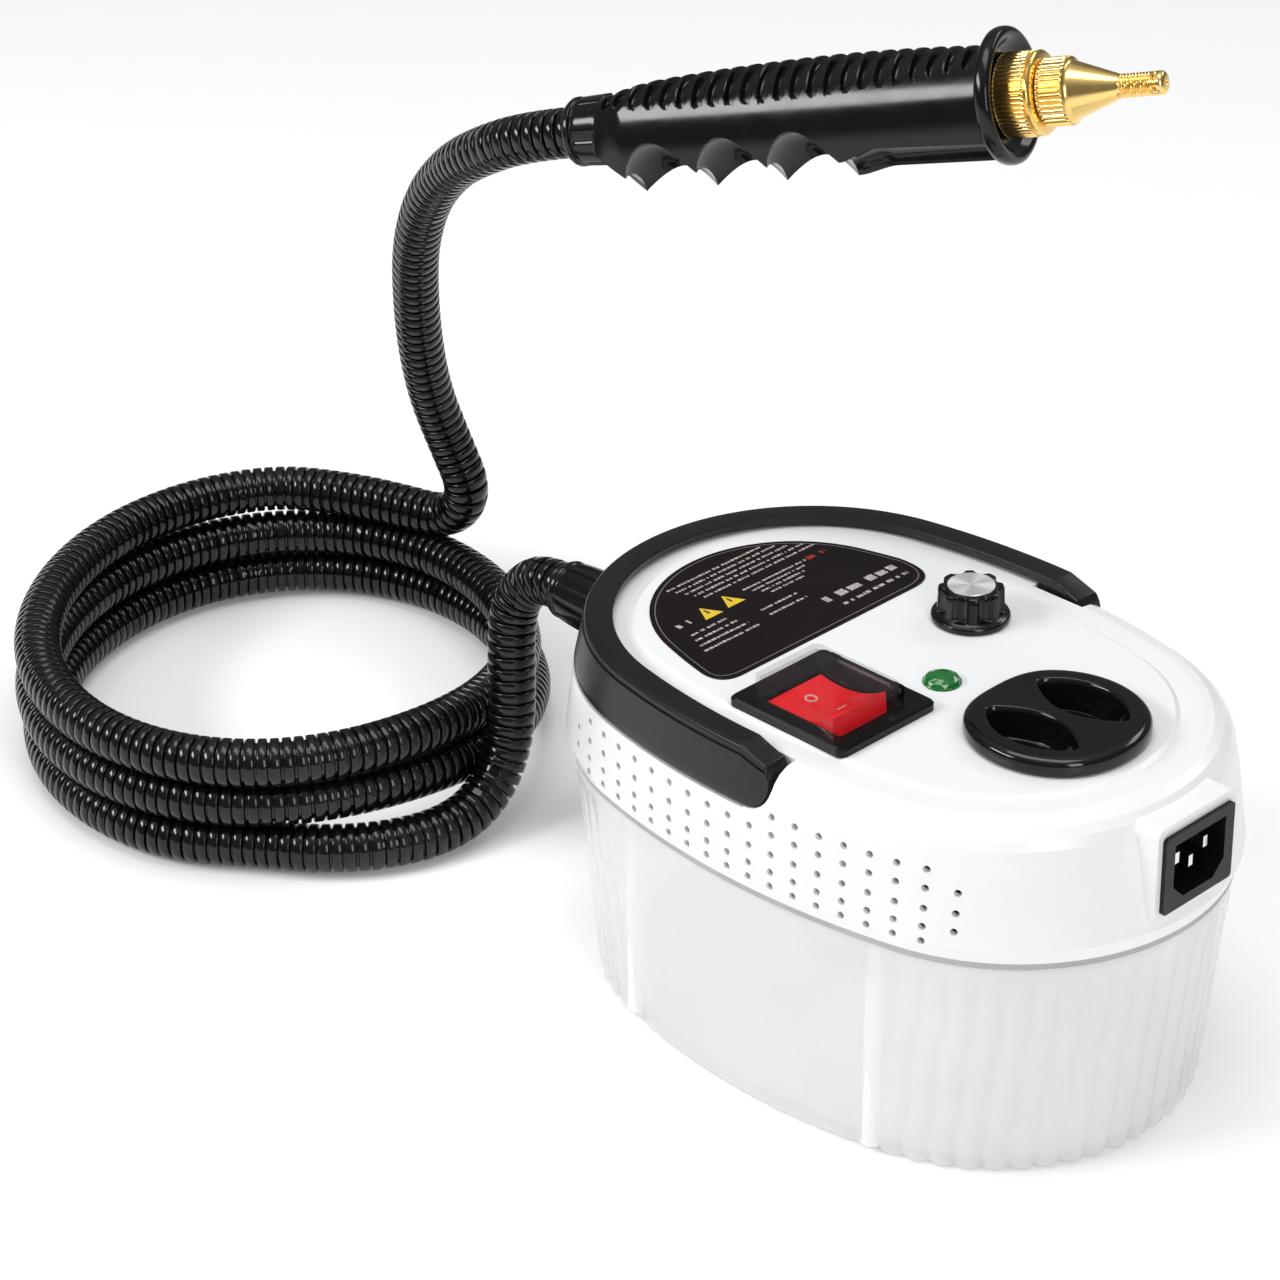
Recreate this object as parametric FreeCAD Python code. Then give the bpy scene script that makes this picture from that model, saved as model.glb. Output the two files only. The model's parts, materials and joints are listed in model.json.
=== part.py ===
"""Steam cleaner: oval water tank, top housing with the works, corrugated steam hose and hand gun.

Frame: millimetres, +Z up, origin at the centre of the tank's bottom face.
+X points to the mains inlet, -X to the hose gland, -Y to the side with the power switch.
"""
import FreeCAD, Part
import math
import os

V = FreeCAD.Vector
X_AXIS = V(1, 0, 0)
Y_AXIS = V(0, 1, 0)
Z_AXIS = V(0, 0, 1)

# ---------------------------------------------------------------- driving dimensions
# Plan ovals are (half length, half width, end radius): four tangent arcs each.
TANK_FOOT = (115.1, 78.9, 73.3)
TANK_RIM = (124.2, 81.8, 75.9)
SEAM = (125.0, 82.4, 76.5)
FLARE = (126.8, 84.4, 78.6)
WAIST = (122.3, 83.6, 78.5)
RIDGE = (116.6, 81.8, 78.0)

TANK_H = 84.2            # top of the tank's rim
GASKET_H = 2.5
SEAM_Z = TANK_H + GASKET_H
FLARE_Z = 92.0
WAIST_Z = 117.7          # lower edge of the carry handle
ROUND_Z = 122.6          # where the housing's top edge starts to round over
DECK_Z = 133.8           # housing top outside the plateau
PANEL_Z = 134.8          # raised plateau that carries the controls
RIDGE_Z = 138.2          # top of the carry handle
TANK_WALL = 2.2
TANK_FLOOR = 2.5
HOUSING_WALL = 2.6
GAP = 0.3                # clearance between pieces of different bodies
RUN_FIT = 0.05           # radial clearance of a pin in its bearing

HANDLE_T = 3.0           # thickness of the handle's side band and top flange
HANDLE_TOP_W = 10.0      # width of the handle's top flange
HANDLE_GAP = 0.8
PIVOT_X = 9.0
PIVOT_Z = 128.5
HUB_R = 10.2
PIVOT_PIN_R = 2.5

SWITCH_C = (8.0, -42.0)          # rocker centre
BEZEL_C = (6.2, -39.0)
BEZEL = (51.0, 45.5, 3.2)
ROCKER = (29.0, 25.0)
ROCKER_WELL = (34.0, 26.4)
ROCKER_PIVOT_Z = 131.5
ROCKER_REST_DEG = -10.0
COVER = (38.0, 30.0, 8.4)
COVER_C = (6.6, -42.0)
COVER_WALL = 1.2
HINGE_Y = -24.0

KNOB_C = (-1.1, 37.0)
KNOB_H = 12.5
LAMP_C = (21.1, -2.2)
CAP_C = (68.5, 0.0)
CAP_RIM_H = 6.2
PLUG_R = 25.0
NECK_BORE_R = 27.0
NECK_R = 29.4

INLET_X = 126.3          # face of the flat boss behind the inlet
INLET_Z = 112.5
INLET = (34.0, 28.0, 1.6)

VENT_R = 1.3
GLAND_Z = 100.0
GLAND_END_X = -162.0
HOSE_D = 18.0

COIL_C = V(-298.0, -26.0, 0)
COIL_TURN_DEG = 45.7     # direction of the coil's shorter axis
COIL_A = 93.0            # half of the shorter axis, at the middle of the hose
COIL_B = 108.0
COIL_H = 55.2

GUN_ORIGIN = V(-181.8, 29.0, 262.9)
GUN_DIRECTION = V(0.9162, 0.3247, 0.2347)
GUN_ROLL_DEG = 36.0

# Points of the hose's route where it isn't coiled; the gun end is GUN_ORIGIN.
LEAD_ROUTE = [
    V(GLAND_END_X, 0, GLAND_Z), V(-172.7, 0, 100), V(-182, -1, 94.6), V(-187, -3.5, 85.3),
    V(-186, -6.5, 70), V(-183.5, -9, 52.5), V(-182, -12, 36), V(-181.5, -19, 21),
    V(-180.5, -33, 11.5), V(-182, -51, 9.2), V(-190, -71, 9.3), V(-205, -88.5, 9.2), V(-224, -101.5, 9.3),
]
RISER_ROUTE = [
    V(-358, 61.5, 46.4), V(-338, 71, 45), V(-317.5, 79.5, 43), V(-304.5, 80.5, 59), V(-311, 75.5, 82),
    V(-312, 67.5, 105), V(-307, 59, 131), V(-299, 51, 159), V(-288, 43, 185), V(-273, 37, 209),
    V(-253, 31, 228), V(-230, 23.5, 243), V(-201, 22.2, 258), GUN_ORIGIN,
]

parts = {}


# ---------------------------------------------------------------- geometry helpers
def oval(size, z, inset=0.0):
    """Closed wire of four tangent arcs, shrunk by inset."""
    a, b, re = (value - inset for value in size)
    rs = ((a - re) ** 2 + b ** 2 - re ** 2) / (2 * (b - re))
    cx = a - re
    cy = rs - b
    jx = cx + re * cx / (rs - re)
    jy = re * cy / (rs - re)
    right = Part.Arc(V(jx, -jy, z), V(a, 0, z), V(jx, jy, z))
    far = Part.Arc(V(jx, jy, z), V(0, b, z), V(-jx, jy, z))
    left = Part.Arc(V(-jx, jy, z), V(-a, 0, z), V(-jx, -jy, z))
    near = Part.Arc(V(-jx, -jy, z), V(0, -b, z), V(jx, -jy, z))
    return Part.Wire([arc.toShape() for arc in (right, far, left, near)])


def loft(levels, inset=0.0):
    """Solid through ovals given as (z, size)."""
    return Part.makeLoft([oval(size, z, inset) for z, size in levels], True, True)


def slab(size, z0, z1, inset=0.0):
    return Part.Face(oval(size, z0, inset)).extrude(V(0, 0, z1 - z0))


def between(low, high, t):
    return tuple(u + (v - u) * t for u, v in zip(low, high))


def skin_at(z):
    """The outer skin's oval above the waist, carried on to the handle's ridge."""
    return between(WAIST, RIDGE, (z - WAIST_Z) / (RIDGE_Z - WAIST_Z))


def box(x0, x1, y0, y1, z0, z1):
    return Part.makeBox(x1 - x0, y1 - y0, z1 - z0, V(x0, y0, z0))


def block(centre, size, z0, z1, corner=0.0):
    """Upright block on a plan centre, with rounded vertical edges."""
    lx, ly = size
    cx, cy = centre
    solid = box(cx - lx / 2, cx + lx / 2, cy - ly / 2, cy + ly / 2, z0, z1)
    if corner:
        solid = solid.makeFillet(corner, upright_edges(solid))
    return solid


def upright_edges(solid):
    found = []
    for edge in solid.Edges:
        ends = [vertex.Point for vertex in edge.Vertexes]
        if len(ends) < 2:
            continue
        span = ends[0] - ends[1]
        if span.Length > 0.1 and span.cross(Z_AXIS).Length < 0.01:
            found.append(edge)
    return found


def post(centre, radius, z0, z1):
    return Part.makeCylinder(radius, z1 - z0, V(centre[0], centre[1], z0), Z_AXIS)


def rod(start, axis, radius, length):
    return Part.makeCylinder(radius, length, start, axis)


def turned(profile, base, axis=Z_AXIS):
    """Solid of revolution from (radius, height) points about the Z axis through base."""
    points = [V(r, 0, h) for r, h in profile]
    face = Part.Face(Part.makePolygon(points + [points[0]]))
    solid = face.revolve(V(0, 0, 0), Z_AXIS, 360)
    solid.Placement = FreeCAD.Placement(base, FreeCAD.Rotation(Z_AXIS, axis))
    return solid


def hexagon(centre, across, z0, z1):
    corner_r = across / math.sqrt(3)
    points = []
    for i in range(7):
        turn = math.radians(60 * i)
        points.append(V(centre[0] + corner_r * math.cos(turn), centre[1] + corner_r * math.sin(turn), z0))
    return Part.Face(Part.makePolygon(points)).extrude(V(0, 0, z1 - z0))


def route_wire(route, name=""):
    """Straight runs joined by tangent arcs, each arc as large as its two runs allow."""
    edges = []
    radii = []
    start = route[0]
    for before, corner, after in zip(route, route[1:], route[2:]):
        back = before - corner
        ahead = after - corner
        half_turn = (math.pi - back.getAngle(ahead)) / 2
        reach = 0.45 * min(back.Length, ahead.Length)
        radius = reach / math.tan(half_turn)
        radii.append(round(radius, 1))
        back.normalize()
        ahead.normalize()
        first = corner + back * reach
        last = corner + ahead * reach
        bisector = (back + ahead).normalize()
        middle = corner + bisector * (radius / math.cos(half_turn) - radius)
        edges.append(Part.LineSegment(start, first).toShape())
        edges.append(Part.Arc(first, middle, last).toShape())
        start = last
    edges.append(Part.LineSegment(start, route[-1]).toShape())
    if name:
        print(name, "arc radii", radii)
    return Part.Wire(edges)


def tube(route, radius, bore=0.0, name=""):
    """Round tube along a route; with a bore it is hollow from end to end."""
    path = route_wire(route, name)
    direction = route[1] - route[0]
    solid = sweep_disc(path, route[0], direction, radius)
    if name:
        expected = math.pi * radius ** 2 * path.Length
        print(name, "length", round(path.Length, 1), "volume ratio", round(solid.Volume / expected, 4))
    if bore:
        solid = solid.cut(sweep_disc(path, route[0], direction, bore))
    return solid


def sweep_disc(path, start, direction, radius):
    section = Part.Wire([Part.makeCircle(radius, start, direction)])
    return path.makePipeShell([section], True, False)


def mirrored(solid):
    return solid.mirror(V(0, 0, 0), Y_AXIS)


# ---------------------------------------------------------------- tank and housing
TANK_POSTS = [(x, y) for x in (-55, 55) for y in (-70.5, 70.5)]
HOUSING_POSTS = [(x, y) for x in (-88, 92) for y in (-46, 46)]
PUMP_C = (-12.0, 0.0)


def tank_at(z):
    """The tank's outer oval, carried on above its rim."""
    return between(TANK_FOOT, TANK_RIM, z / TANK_H)


def make_tank():
    rounding = [(0, 1.6), (0.6, 0.55), (2.0, 0.0)]
    levels = [(z, tuple(value - inset for value in tank_at(z))) for z, inset in rounding]
    outer = loft(levels + [(TANK_H, TANK_RIM)])
    inner = loft([(TANK_FLOOR, tank_at(TANK_FLOOR)), (TANK_H + 1, tank_at(TANK_H + 1))], TANK_WALL)
    mid_wall = loft([(0, TANK_FOOT), (TANK_H, TANK_RIM)], TANK_WALL / 2)
    tank = outer.cut(inner)
    for centre in TANK_POSTS:
        pillar = post(centre, 4.5, TANK_FLOOR - 0.5, TANK_H).common(mid_wall)
        tank = tank.fuse(pillar)
    pilot_holes = [post(centre, 1.5, TANK_H - 12, TANK_H + 1) for centre in TANK_POSTS]
    parts["water_tank"] = tank.cut(pilot_holes).removeSplitter()


def make_gasket():
    ring = slab(SEAM, TANK_H, SEAM_Z, 0.5).cut(slab(SEAM, TANK_H - 1, SEAM_Z + 1, 5.0))
    holes = [post(centre, 1.7, TANK_H - 1, SEAM_Z + 1) for centre in TANK_POSTS]
    pads = [post(centre, 4.5, TANK_H, SEAM_Z) for centre in TANK_POSTS]
    for pad in pads:
        ring = ring.fuse(pad.common(slab(SEAM, TANK_H, SEAM_Z, 0.5)))
    parts["tank_gasket"] = ring.cut(Part.makeCompound(holes)).removeSplitter()


def make_chassis():
    plate = slab(SEAM, SEAM_Z, SEAM_Z + 3.5, HOUSING_WALL + 0.4)
    holes = [post(CAP_C, NECK_R, 80, 100), post(PUMP_C, 6.0, 80, 100)]
    holes += [post(centre, 1.7, 80, 100) for centre in TANK_POSTS + HOUSING_POSTS]
    parts["chassis_plate"] = plate.cut(Part.makeCompound(holes))


def housing_levels():
    levels = [(SEAM_Z, SEAM), (FLARE_Z, FLARE), (WAIST_Z, WAIST), (ROUND_Z, skin_at(ROUND_Z))]
    edge_r = DECK_Z - ROUND_Z
    base = skin_at(ROUND_Z)
    for step in range(1, 6):
        turn = math.radians(18 * step)
        inset = edge_r * (1 - math.cos(turn))
        levels.append((ROUND_Z + edge_r * math.sin(turn), tuple(value - inset for value in base)))
    return levels


def handle_rebate():
    """Room that the folded handle and its swing need in the housing."""
    low = WAIST_Z - HANDLE_GAP
    band = loft([(low, skin_at(low)), (RIDGE_Z + 2, skin_at(RIDGE_Z + 2))], -4)
    core = loft([(low - 1, skin_at(low - 1)), (RIDGE_Z + 3, skin_at(RIDGE_Z + 3))], HANDLE_T + HANDLE_GAP)
    band = band.cut(core).common(box(-200, PIVOT_X, -100, 100, 100, 150))
    pocket_y = RIDGE[1] - HANDLE_TOP_W - 1.4
    pocket_r = HUB_R + HANDLE_GAP
    pocket = rod(V(PIVOT_X, pocket_y, PIVOT_Z), Y_AXIS, pocket_r, 30)
    slot = box(PIVOT_X - pocket_r, PIVOT_X + pocket_r, pocket_y, 110, PIVOT_Z, 150)
    pocket = pocket.fuse(slot)
    return band.fuse([pocket, mirrored(pocket)])


def pocket_boss():
    """Thickened wall behind a handle pocket, which holds the pivot pin."""
    pocket_y = RIDGE[1] - HANDLE_TOP_W - 1.4
    boss_r = HUB_R + HANDLE_GAP + HOUSING_WALL
    return rod(V(PIVOT_X, pocket_y - 3.0, PIVOT_Z), Y_AXIS, boss_r, 16)


def skin_point(x, z, side):
    """Point and outward normal on the lower skin at a given x; side is -1 or +1."""
    t = (z - FLARE_Z) / (WAIST_Z - FLARE_Z)
    a, b, re = between(FLARE, WAIST, t)
    rs = ((a - re) ** 2 + b ** 2 - re ** 2) / (2 * (b - re))
    cx = a - re
    centre_x, centre_y, radius = 0.0, b - rs, rs
    if abs(x) > rs * cx / (rs - re):
        centre_x, centre_y, radius = math.copysign(cx, x), 0.0, re
    nx = (x - centre_x) / radius
    ny = math.sqrt(1 - nx * nx)
    return V(x, side * (centre_y + radius * ny), z), V(nx, side * ny, 0)


def vent_holes():
    """Rows of small round vents on both long sides; the top row stops below the handle."""
    rows = [118.2, 111.5, 104.3, 97.8, 92.6]
    holes = []
    for column in range(-11, 8):
        x = 21.0 + 9.3 * column
        for row, z in enumerate(rows):
            under_handle = row == 0 and column < 0
            past_front = column == 7 and row in (0, 4)
            past_rear = column == -11 and row != 2 and row != 3
            if under_handle or past_front or past_rear:
                continue
            for side in (-1, 1):
                point, normal = skin_point(x, z, side)
                holes.append(rod(point - normal * 8, normal, VENT_R, 12))
    return holes


def make_housing():
    outer = loft(housing_levels())
    inner_levels = [(z, size) for z, size in housing_levels() if z < DECK_Z - HOUSING_WALL]
    last_z, last_size = inner_levels[-1]
    inner_levels[0] = (SEAM_Z, SEAM)
    inner = loft(inner_levels, HOUSING_WALL)
    roof_z = DECK_Z - HOUSING_WALL
    roof = oval(last_size, roof_z, HOUSING_WALL + roof_z - last_z)
    inner = inner.fuse(Part.makeLoft([oval(last_size, last_z, HOUSING_WALL), roof], True, True))
    plateau = Part.makeLoft([oval(WAIST, DECK_Z - 0.2, 19.5), oval(WAIST, PANEL_Z, 21.5)], True, True)
    boss = box(112, INLET_X, -19.5, 19.5, 95.0, 130.0)
    boss = boss.makeFillet(3.0, [edge for edge in boss.Edges if abs(edge.BoundBox.XLength - 14.3) < 0.1])
    keep_out = loft([(SEAM_Z, SEAM), (DECK_Z, SEAM)], 13)
    pillars = [post(centre, 4.2, SEAM_Z + 3.5, DECK_Z - 1) for centre in HOUSING_POSTS]
    rim_core = handle_core()
    bosses = [pocket_boss(), mirrored(pocket_boss())]
    bosses = [piece.common(outer) for piece in bosses]
    shell = outer.cut(inner).fuse([rim_core, plateau, boss.cut(keep_out)] + pillars + bosses)
    cut_tools = [handle_rebate(), post(CAP_C, NECK_R, 125, 145), post(LAMP_C, 5.0, 125, 145)]
    cut_tools += [post(KNOB_C, 3.5, 125, 145), block(SWITCH_C, SWITCH_BODY, 125, 145)]
    cut_tools += [box(100, 140, -INLET_BODY[0] / 2, INLET_BODY[0] / 2,
                      INLET_Z - INLET_BODY[1] / 2, INLET_Z + INLET_BODY[1] / 2)]
    cut_tools += [rod(V(-140, 0, GLAND_Z), X_AXIS, 8.0, 30)]
    cut_tools += [rod(V(PIVOT_X, -90, PIVOT_Z), Y_AXIS, PIVOT_PIN_R, 180)]
    cut_tools += [post(centre, 1.5, SEAM_Z, SEAM_Z + 16) for centre in HOUSING_POSTS]
    shell = shell.cut(cut_tools)
    shell = shell.cut(vent_holes())
    parts["top_housing"] = largest_solid(shell)


def handle_core():
    """Inner wall behind the rebate, so that the housing stays closed under the handle."""
    low = WAIST_Z - HANDLE_GAP
    wall = HANDLE_T + HANDLE_GAP
    ring = loft([(low - 3, skin_at(low - 3)), (ROUND_Z + 4, skin_at(ROUND_Z + 4))], wall - 0.5)
    ring = ring.cut(loft([(low - 4, skin_at(low - 4)), (ROUND_Z + 5, skin_at(ROUND_Z + 5))], wall + 2.2))
    return ring.common(box(-200, PIVOT_X, -100, 100, 100, 130))


def largest_solid(shape):
    return max(shape.Solids, key=lambda solid: solid.Volume)


# ---------------------------------------------------------------- carry handle
def make_handle():
    outer = loft([(WAIST_Z, WAIST), (RIDGE_Z, RIDGE)])
    under_top = RIDGE_Z - HANDLE_T
    under = loft([(WAIST_Z - 1, skin_at(WAIST_Z - 1)), (under_top, skin_at(under_top))], HANDLE_T)
    middle = slab(RIDGE, WAIST_Z - 1, RIDGE_Z + 1, HANDLE_TOP_W)
    band = outer.cut(under).cut(middle)
    rear = band.common(box(-200, PIVOT_X, -100, 100, 100, 150))
    hub_y = RIDGE[1] - HANDLE_TOP_W - 0.6
    hub_space = loft([(WAIST_Z - 1, skin_at(WAIST_Z - 1)), (RIDGE_Z, RIDGE)])
    hub = rod(V(PIVOT_X, hub_y, PIVOT_Z), Y_AXIS, HUB_R, 20).common(hub_space)
    slope = Part.makePolygon([V(PIVOT_X - 3, 0, RIDGE_Z), V(PIVOT_X + 11, 0, RIDGE_Z - 4.6),
                              V(PIVOT_X + 11, 0, 150), V(PIVOT_X - 3, 0, 150), V(PIVOT_X - 3, 0, RIDGE_Z)])
    slope = Part.Face(slope).extrude(V(0, 100, 0))
    bore = rod(V(PIVOT_X, hub_y - 1, PIVOT_Z), Y_AXIS, PIVOT_PIN_R + RUN_FIT, 8.0)
    hub = hub.cut(slope)
    handle = rear.fuse([hub, mirrored(hub)]).cut([bore, mirrored(bore)])
    parts["carry_handle"] = handle.removeSplitter()
    pin = rod(V(PIVOT_X, hub_y - 7, PIVOT_Z), Y_AXIS, PIVOT_PIN_R, 13.5)
    parts["handle_pivot_pins"] = Part.makeCompound([pin, mirrored(pin)])


# ---------------------------------------------------------------- controls on the plateau
SWITCH_BODY = (35.6, 28.4)
WELL_FLOOR_Z = 121.0


def make_switch():
    bezel_top = PANEL_Z + BEZEL[2]
    bezel = block(BEZEL_C, BEZEL[:2], PANEL_Z, bezel_top, 3.0)
    top_edges = [edge for edge in bezel.Edges if edge.BoundBox.ZMin > bezel_top - 0.01]
    bezel = bezel.makeChamfer(0.8, top_edges)
    pin_z = bezel_top + 2.6
    ear_xs = (COVER_C[0] - 15.3, COVER_C[0] + 12.3)
    for x in ear_xs:
        ear = rod(V(x, HINGE_Y, pin_z), X_AXIS, 2.4, 3.0)
        ear = ear.fuse(box(x, x + 3.0, HINGE_Y - 2.4, HINGE_Y + 2.4, bezel_top - 0.5, pin_z))
        bezel = bezel.fuse(ear)
    pin = rod(V(ear_xs[0], HINGE_Y, pin_z), X_AXIS, 1.0, ear_xs[1] + 3.0 - ear_xs[0])
    bezel = bezel.cut([pin, block(SWITCH_C, ROCKER_WELL, 130, 145)])
    parts["switch_bezel"] = bezel.removeSplitter()
    parts["cover_hinge_pin"] = pin

    body = block(SWITCH_C, SWITCH_BODY, 110.0, PANEL_Z)
    trunnion = rod(V(SWITCH_C[0], SWITCH_C[1] - 13.9, ROCKER_PIVOT_Z), Y_AXIS, 1.5, 27.8)
    bearing = rod(V(SWITCH_C[0], SWITCH_C[1] - 14.0, ROCKER_PIVOT_Z), Y_AXIS, 1.5 + RUN_FIT, 28.0)
    body = body.cut([block(SWITCH_C, ROCKER_WELL, WELL_FLOOR_Z, PANEL_Z + 1), bearing])
    parts["switch_body"] = body
    tabs = []
    for dx in (-12, 0, 12):
        for dy in (-7, 7):
            tabs.append(box(SWITCH_C[0] + dx - 0.4, SWITCH_C[0] + dx + 0.4,
                            SWITCH_C[1] + dy - 3.1, SWITCH_C[1] + dy + 3.1, 101.0, 110.0))
    parts["switch_terminals"] = Part.makeCompound(tabs)

    half = ROCKER[0] / 2
    rim = 8.6
    outline = Part.Wire([
        Part.LineSegment(V(half, 0, rim), V(half - 1.2, 0, -5)).toShape(),
        Part.LineSegment(V(half - 1.2, 0, -5), V(1 - half + 0.2, 0, -5)).toShape(),
        Part.LineSegment(V(1 - half + 0.2, 0, -5), V(-half, 0, rim)).toShape(),
        Part.Arc(V(-half, 0, rim), V(0, 0, rim - 3.2), V(half, 0, rim)).toShape(),
    ])
    rocker = Part.Face(outline).extrude(V(0, ROCKER[1], 0))
    rocker.translate(V(0, -ROCKER[1] / 2, 0))
    rocker.rotate(V(0, 0, 0), Y_AXIS, ROCKER_REST_DEG)
    rocker.translate(V(SWITCH_C[0], SWITCH_C[1], ROCKER_PIVOT_Z))
    parts["power_rocker"] = rocker.fuse(trunnion).removeSplitter()

    low = bezel_top + GAP
    high = low + COVER[2]
    cover = block(COVER_C, COVER[:2], low, high, 2.5)
    inside = (COVER[0] - 2 * COVER_WALL, COVER[1] - 2 * COVER_WALL)
    hollow = block(COVER_C, inside, low - 1, high - COVER_WALL, 1.4)
    barrel = rod(V(ear_xs[0] + 3.0 + GAP, HINGE_Y, pin_z), X_AXIS, 2.1, ear_xs[1] - ear_xs[0] - 3.0 - 2 * GAP)
    back_y = COVER_C[1] + COVER[1] / 2
    web = box(ear_xs[0] + 3.0 + GAP, ear_xs[1] - GAP, back_y - 0.5, HINGE_Y, pin_z - 0.8, pin_z + 1.0)
    barrel_bore = rod(V(-40, HINGE_Y, pin_z), X_AXIS, 1.0 + RUN_FIT, 80)
    parts["switch_cover"] = cover.cut(hollow).fuse([barrel, web]).cut(barrel_bore).removeSplitter()


def make_knob():
    base = V(KNOB_C[0], KNOB_C[1], PANEL_Z + GAP)
    body = turned([(0, 0), (13.2, 0), (13.5, 0.6), (13.5, 2.0), (11.6, 3.0), (10.9, KNOB_H - 0.8),
                   (10.0, KNOB_H), (0, KNOB_H)], base)
    flutes = []
    for i in range(8):
        turn = math.radians(45 * i)
        centre = (KNOB_C[0] + 13.4 * math.cos(turn), KNOB_C[1] + 13.4 * math.sin(turn))
        flutes.append(post(centre, 3.4, PANEL_Z + GAP + 3.2, PANEL_Z + 20))
    hollow = post(KNOB_C, 7.6, PANEL_Z, PANEL_Z + 4.2)
    shaft_top = PANEL_Z + 9.6
    socket = post(KNOB_C, 3.0, PANEL_Z, shaft_top)
    dish = post(KNOB_C, 7.3, PANEL_Z + GAP + KNOB_H - 0.5, PANEL_Z + 20)
    body = body.cut(flutes).cut([hollow, socket, dish])
    pointer = box(KNOB_C[0] - 13.2, KNOB_C[0] - 8.2, KNOB_C[1] - 0.5, KNOB_C[1] + 0.5,
                  PANEL_Z + GAP + KNOB_H - 0.6, PANEL_Z + GAP + KNOB_H + 0.3)
    parts["steam_knob"] = body.fuse(pointer.common(post(KNOB_C, 10.6, PANEL_Z, PANEL_Z + 20)))
    disc_z = PANEL_Z + GAP + KNOB_H - 0.5
    disc_base = V(KNOB_C[0], KNOB_C[1], disc_z)
    parts["knob_disc"] = turned([(0, 0), (7.2, 0), (7.2, 0.5), (6.8, 0.9), (0, 0.9)], disc_base)
    parts["knob_shaft"] = post(KNOB_C, 3.0, 124.0, shaft_top)

    bushing = post(KNOB_C, 3.5, 131.0, PANEL_Z + 3.6).fuse(post(KNOB_C, 8.4, 121.5, PANEL_Z - 3.6))
    tab_y = KNOB_C[1] + 6.5
    tab_xs = [KNOB_C[0] + dx for dx in (-4, 0, 4)]
    pot_tabs = [box(x - 0.5, x + 0.5, tab_y, tab_y + 7.5, 123.0, 123.8) for x in tab_xs]
    bushing = bushing.fuse(pot_tabs).cut(post(KNOB_C, 3.0 + RUN_FIT, 123.5, 150))
    parts["potentiometer"] = bushing
    nut = hexagon(KNOB_C, 11.0, PANEL_Z, PANEL_Z + 2.2).cut(post(KNOB_C, 3.5, PANEL_Z - 1, PANEL_Z + 4))
    parts["potentiometer_nut"] = nut


def make_lamp():
    at = V(LAMP_C[0], LAMP_C[1], PANEL_Z)
    rise = 2.6
    dome_r = (6.1 ** 2 + rise ** 2) / (2 * rise)
    dome = Part.makeSphere(dome_r, at + V(0, 0, rise + 0.6 - dome_r))
    dome = dome.common(post(LAMP_C, 6.6, PANEL_Z + 0.6, 150))
    flange = post(LAMP_C, 6.6, PANEL_Z, PANEL_Z + 0.6)
    parts["lamp_lens"] = flange.fuse(dome).removeSplitter()
    body = post(LAMP_C, 5.0, 118.0, PANEL_Z)
    legs = [post((LAMP_C[0] + dx, LAMP_C[1]), 0.5, 110.0, 118.0) for dx in (-2, 2)]
    parts["lamp_body"] = body.fuse(legs)


def make_label():
    outline = slab((97.0, 57.0, 50.0), PANEL_Z, PANEL_Z + 0.4).common(box(-120, -29, -80, 80, 120, 150))
    outline = largest_solid(outline)
    corners = [edge for edge in upright_edges(outline) if edge.BoundBox.XMax > -29.1]
    parts["label_plate"] = outline.makeFillet(8.0, corners)


# ---------------------------------------------------------------- filler cap
def cap_outline(z):
    """Egg-shaped rim, flatter on the -X side."""
    half = [(-27.8, 0), (-21.5, 21.5), (-2.5, 30.3), (19.5, 23.5), (29.3, 0)]
    points = [V(CAP_C[0] + x, y, z) for x, y in half]
    points += [V(CAP_C[0] + x, -y, z) for x, y in reversed(half[1:-1])]
    curve = Part.BSplineCurve()
    curve.interpolate(Points=points, PeriodicFlag=True)
    return Part.Wire([curve.toShape()])


def make_cap():
    low = PANEL_Z + GAP
    top = low + CAP_RIM_H
    rim = Part.Face(cap_outline(low)).extrude(V(0, 0, CAP_RIM_H))
    rim = rim.makeFillet(2.2, [edge for edge in rim.Edges if edge.BoundBox.ZMin > top - 0.1])
    plug = post(CAP_C, PLUG_R, 124.0, low + 1)
    recess_base = V(CAP_C[0], CAP_C[1], top - 13.4)
    recess = turned([(0, 0), (17.0, 0), (21.0, 4), (23.5, 14), (23.5, 16), (0, 16)], recess_base)
    bar = box(CAP_C[0] - 40, CAP_C[0] + 40, -3.4, 3.4, 120, 150)
    parts["filler_cap"] = rim.fuse(plug).cut(recess.cut(bar)).removeSplitter()
    seal_in = PLUG_R + GAP
    seal_out = NECK_BORE_R - GAP
    seal_base = V(CAP_C[0], CAP_C[1], 126.5)
    parts["cap_seal"] = turned([(seal_in, 0), (seal_out, 0.5), (seal_out, 2.1), (seal_in, 2.6)], seal_base)
    neck = post(CAP_C, NECK_R, 76.0, PANEL_Z).cut(post(CAP_C, NECK_BORE_R, 70, 140))
    parts["filler_neck"] = neck


# ---------------------------------------------------------------- mains inlet
INLET_BODY = (28.6, 24.0)


def inlet_recess(depth):
    """Socket space with its two lower corners cut off."""
    half_w, half_h, corner = 12.6, 10.3, 5.2
    x = INLET_X + INLET[2] + 1
    points = [(-half_w, half_h), (half_w, half_h), (half_w, corner - half_h), (half_w - corner, -half_h),
              (corner - half_w, -half_h), (-half_w, corner - half_h), (-half_w, half_h)]
    outline = Part.makePolygon([V(x, y, INLET_Z + z) for y, z in points])
    return Part.Face(outline).extrude(V(-depth - 1, 0, 0))


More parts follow.
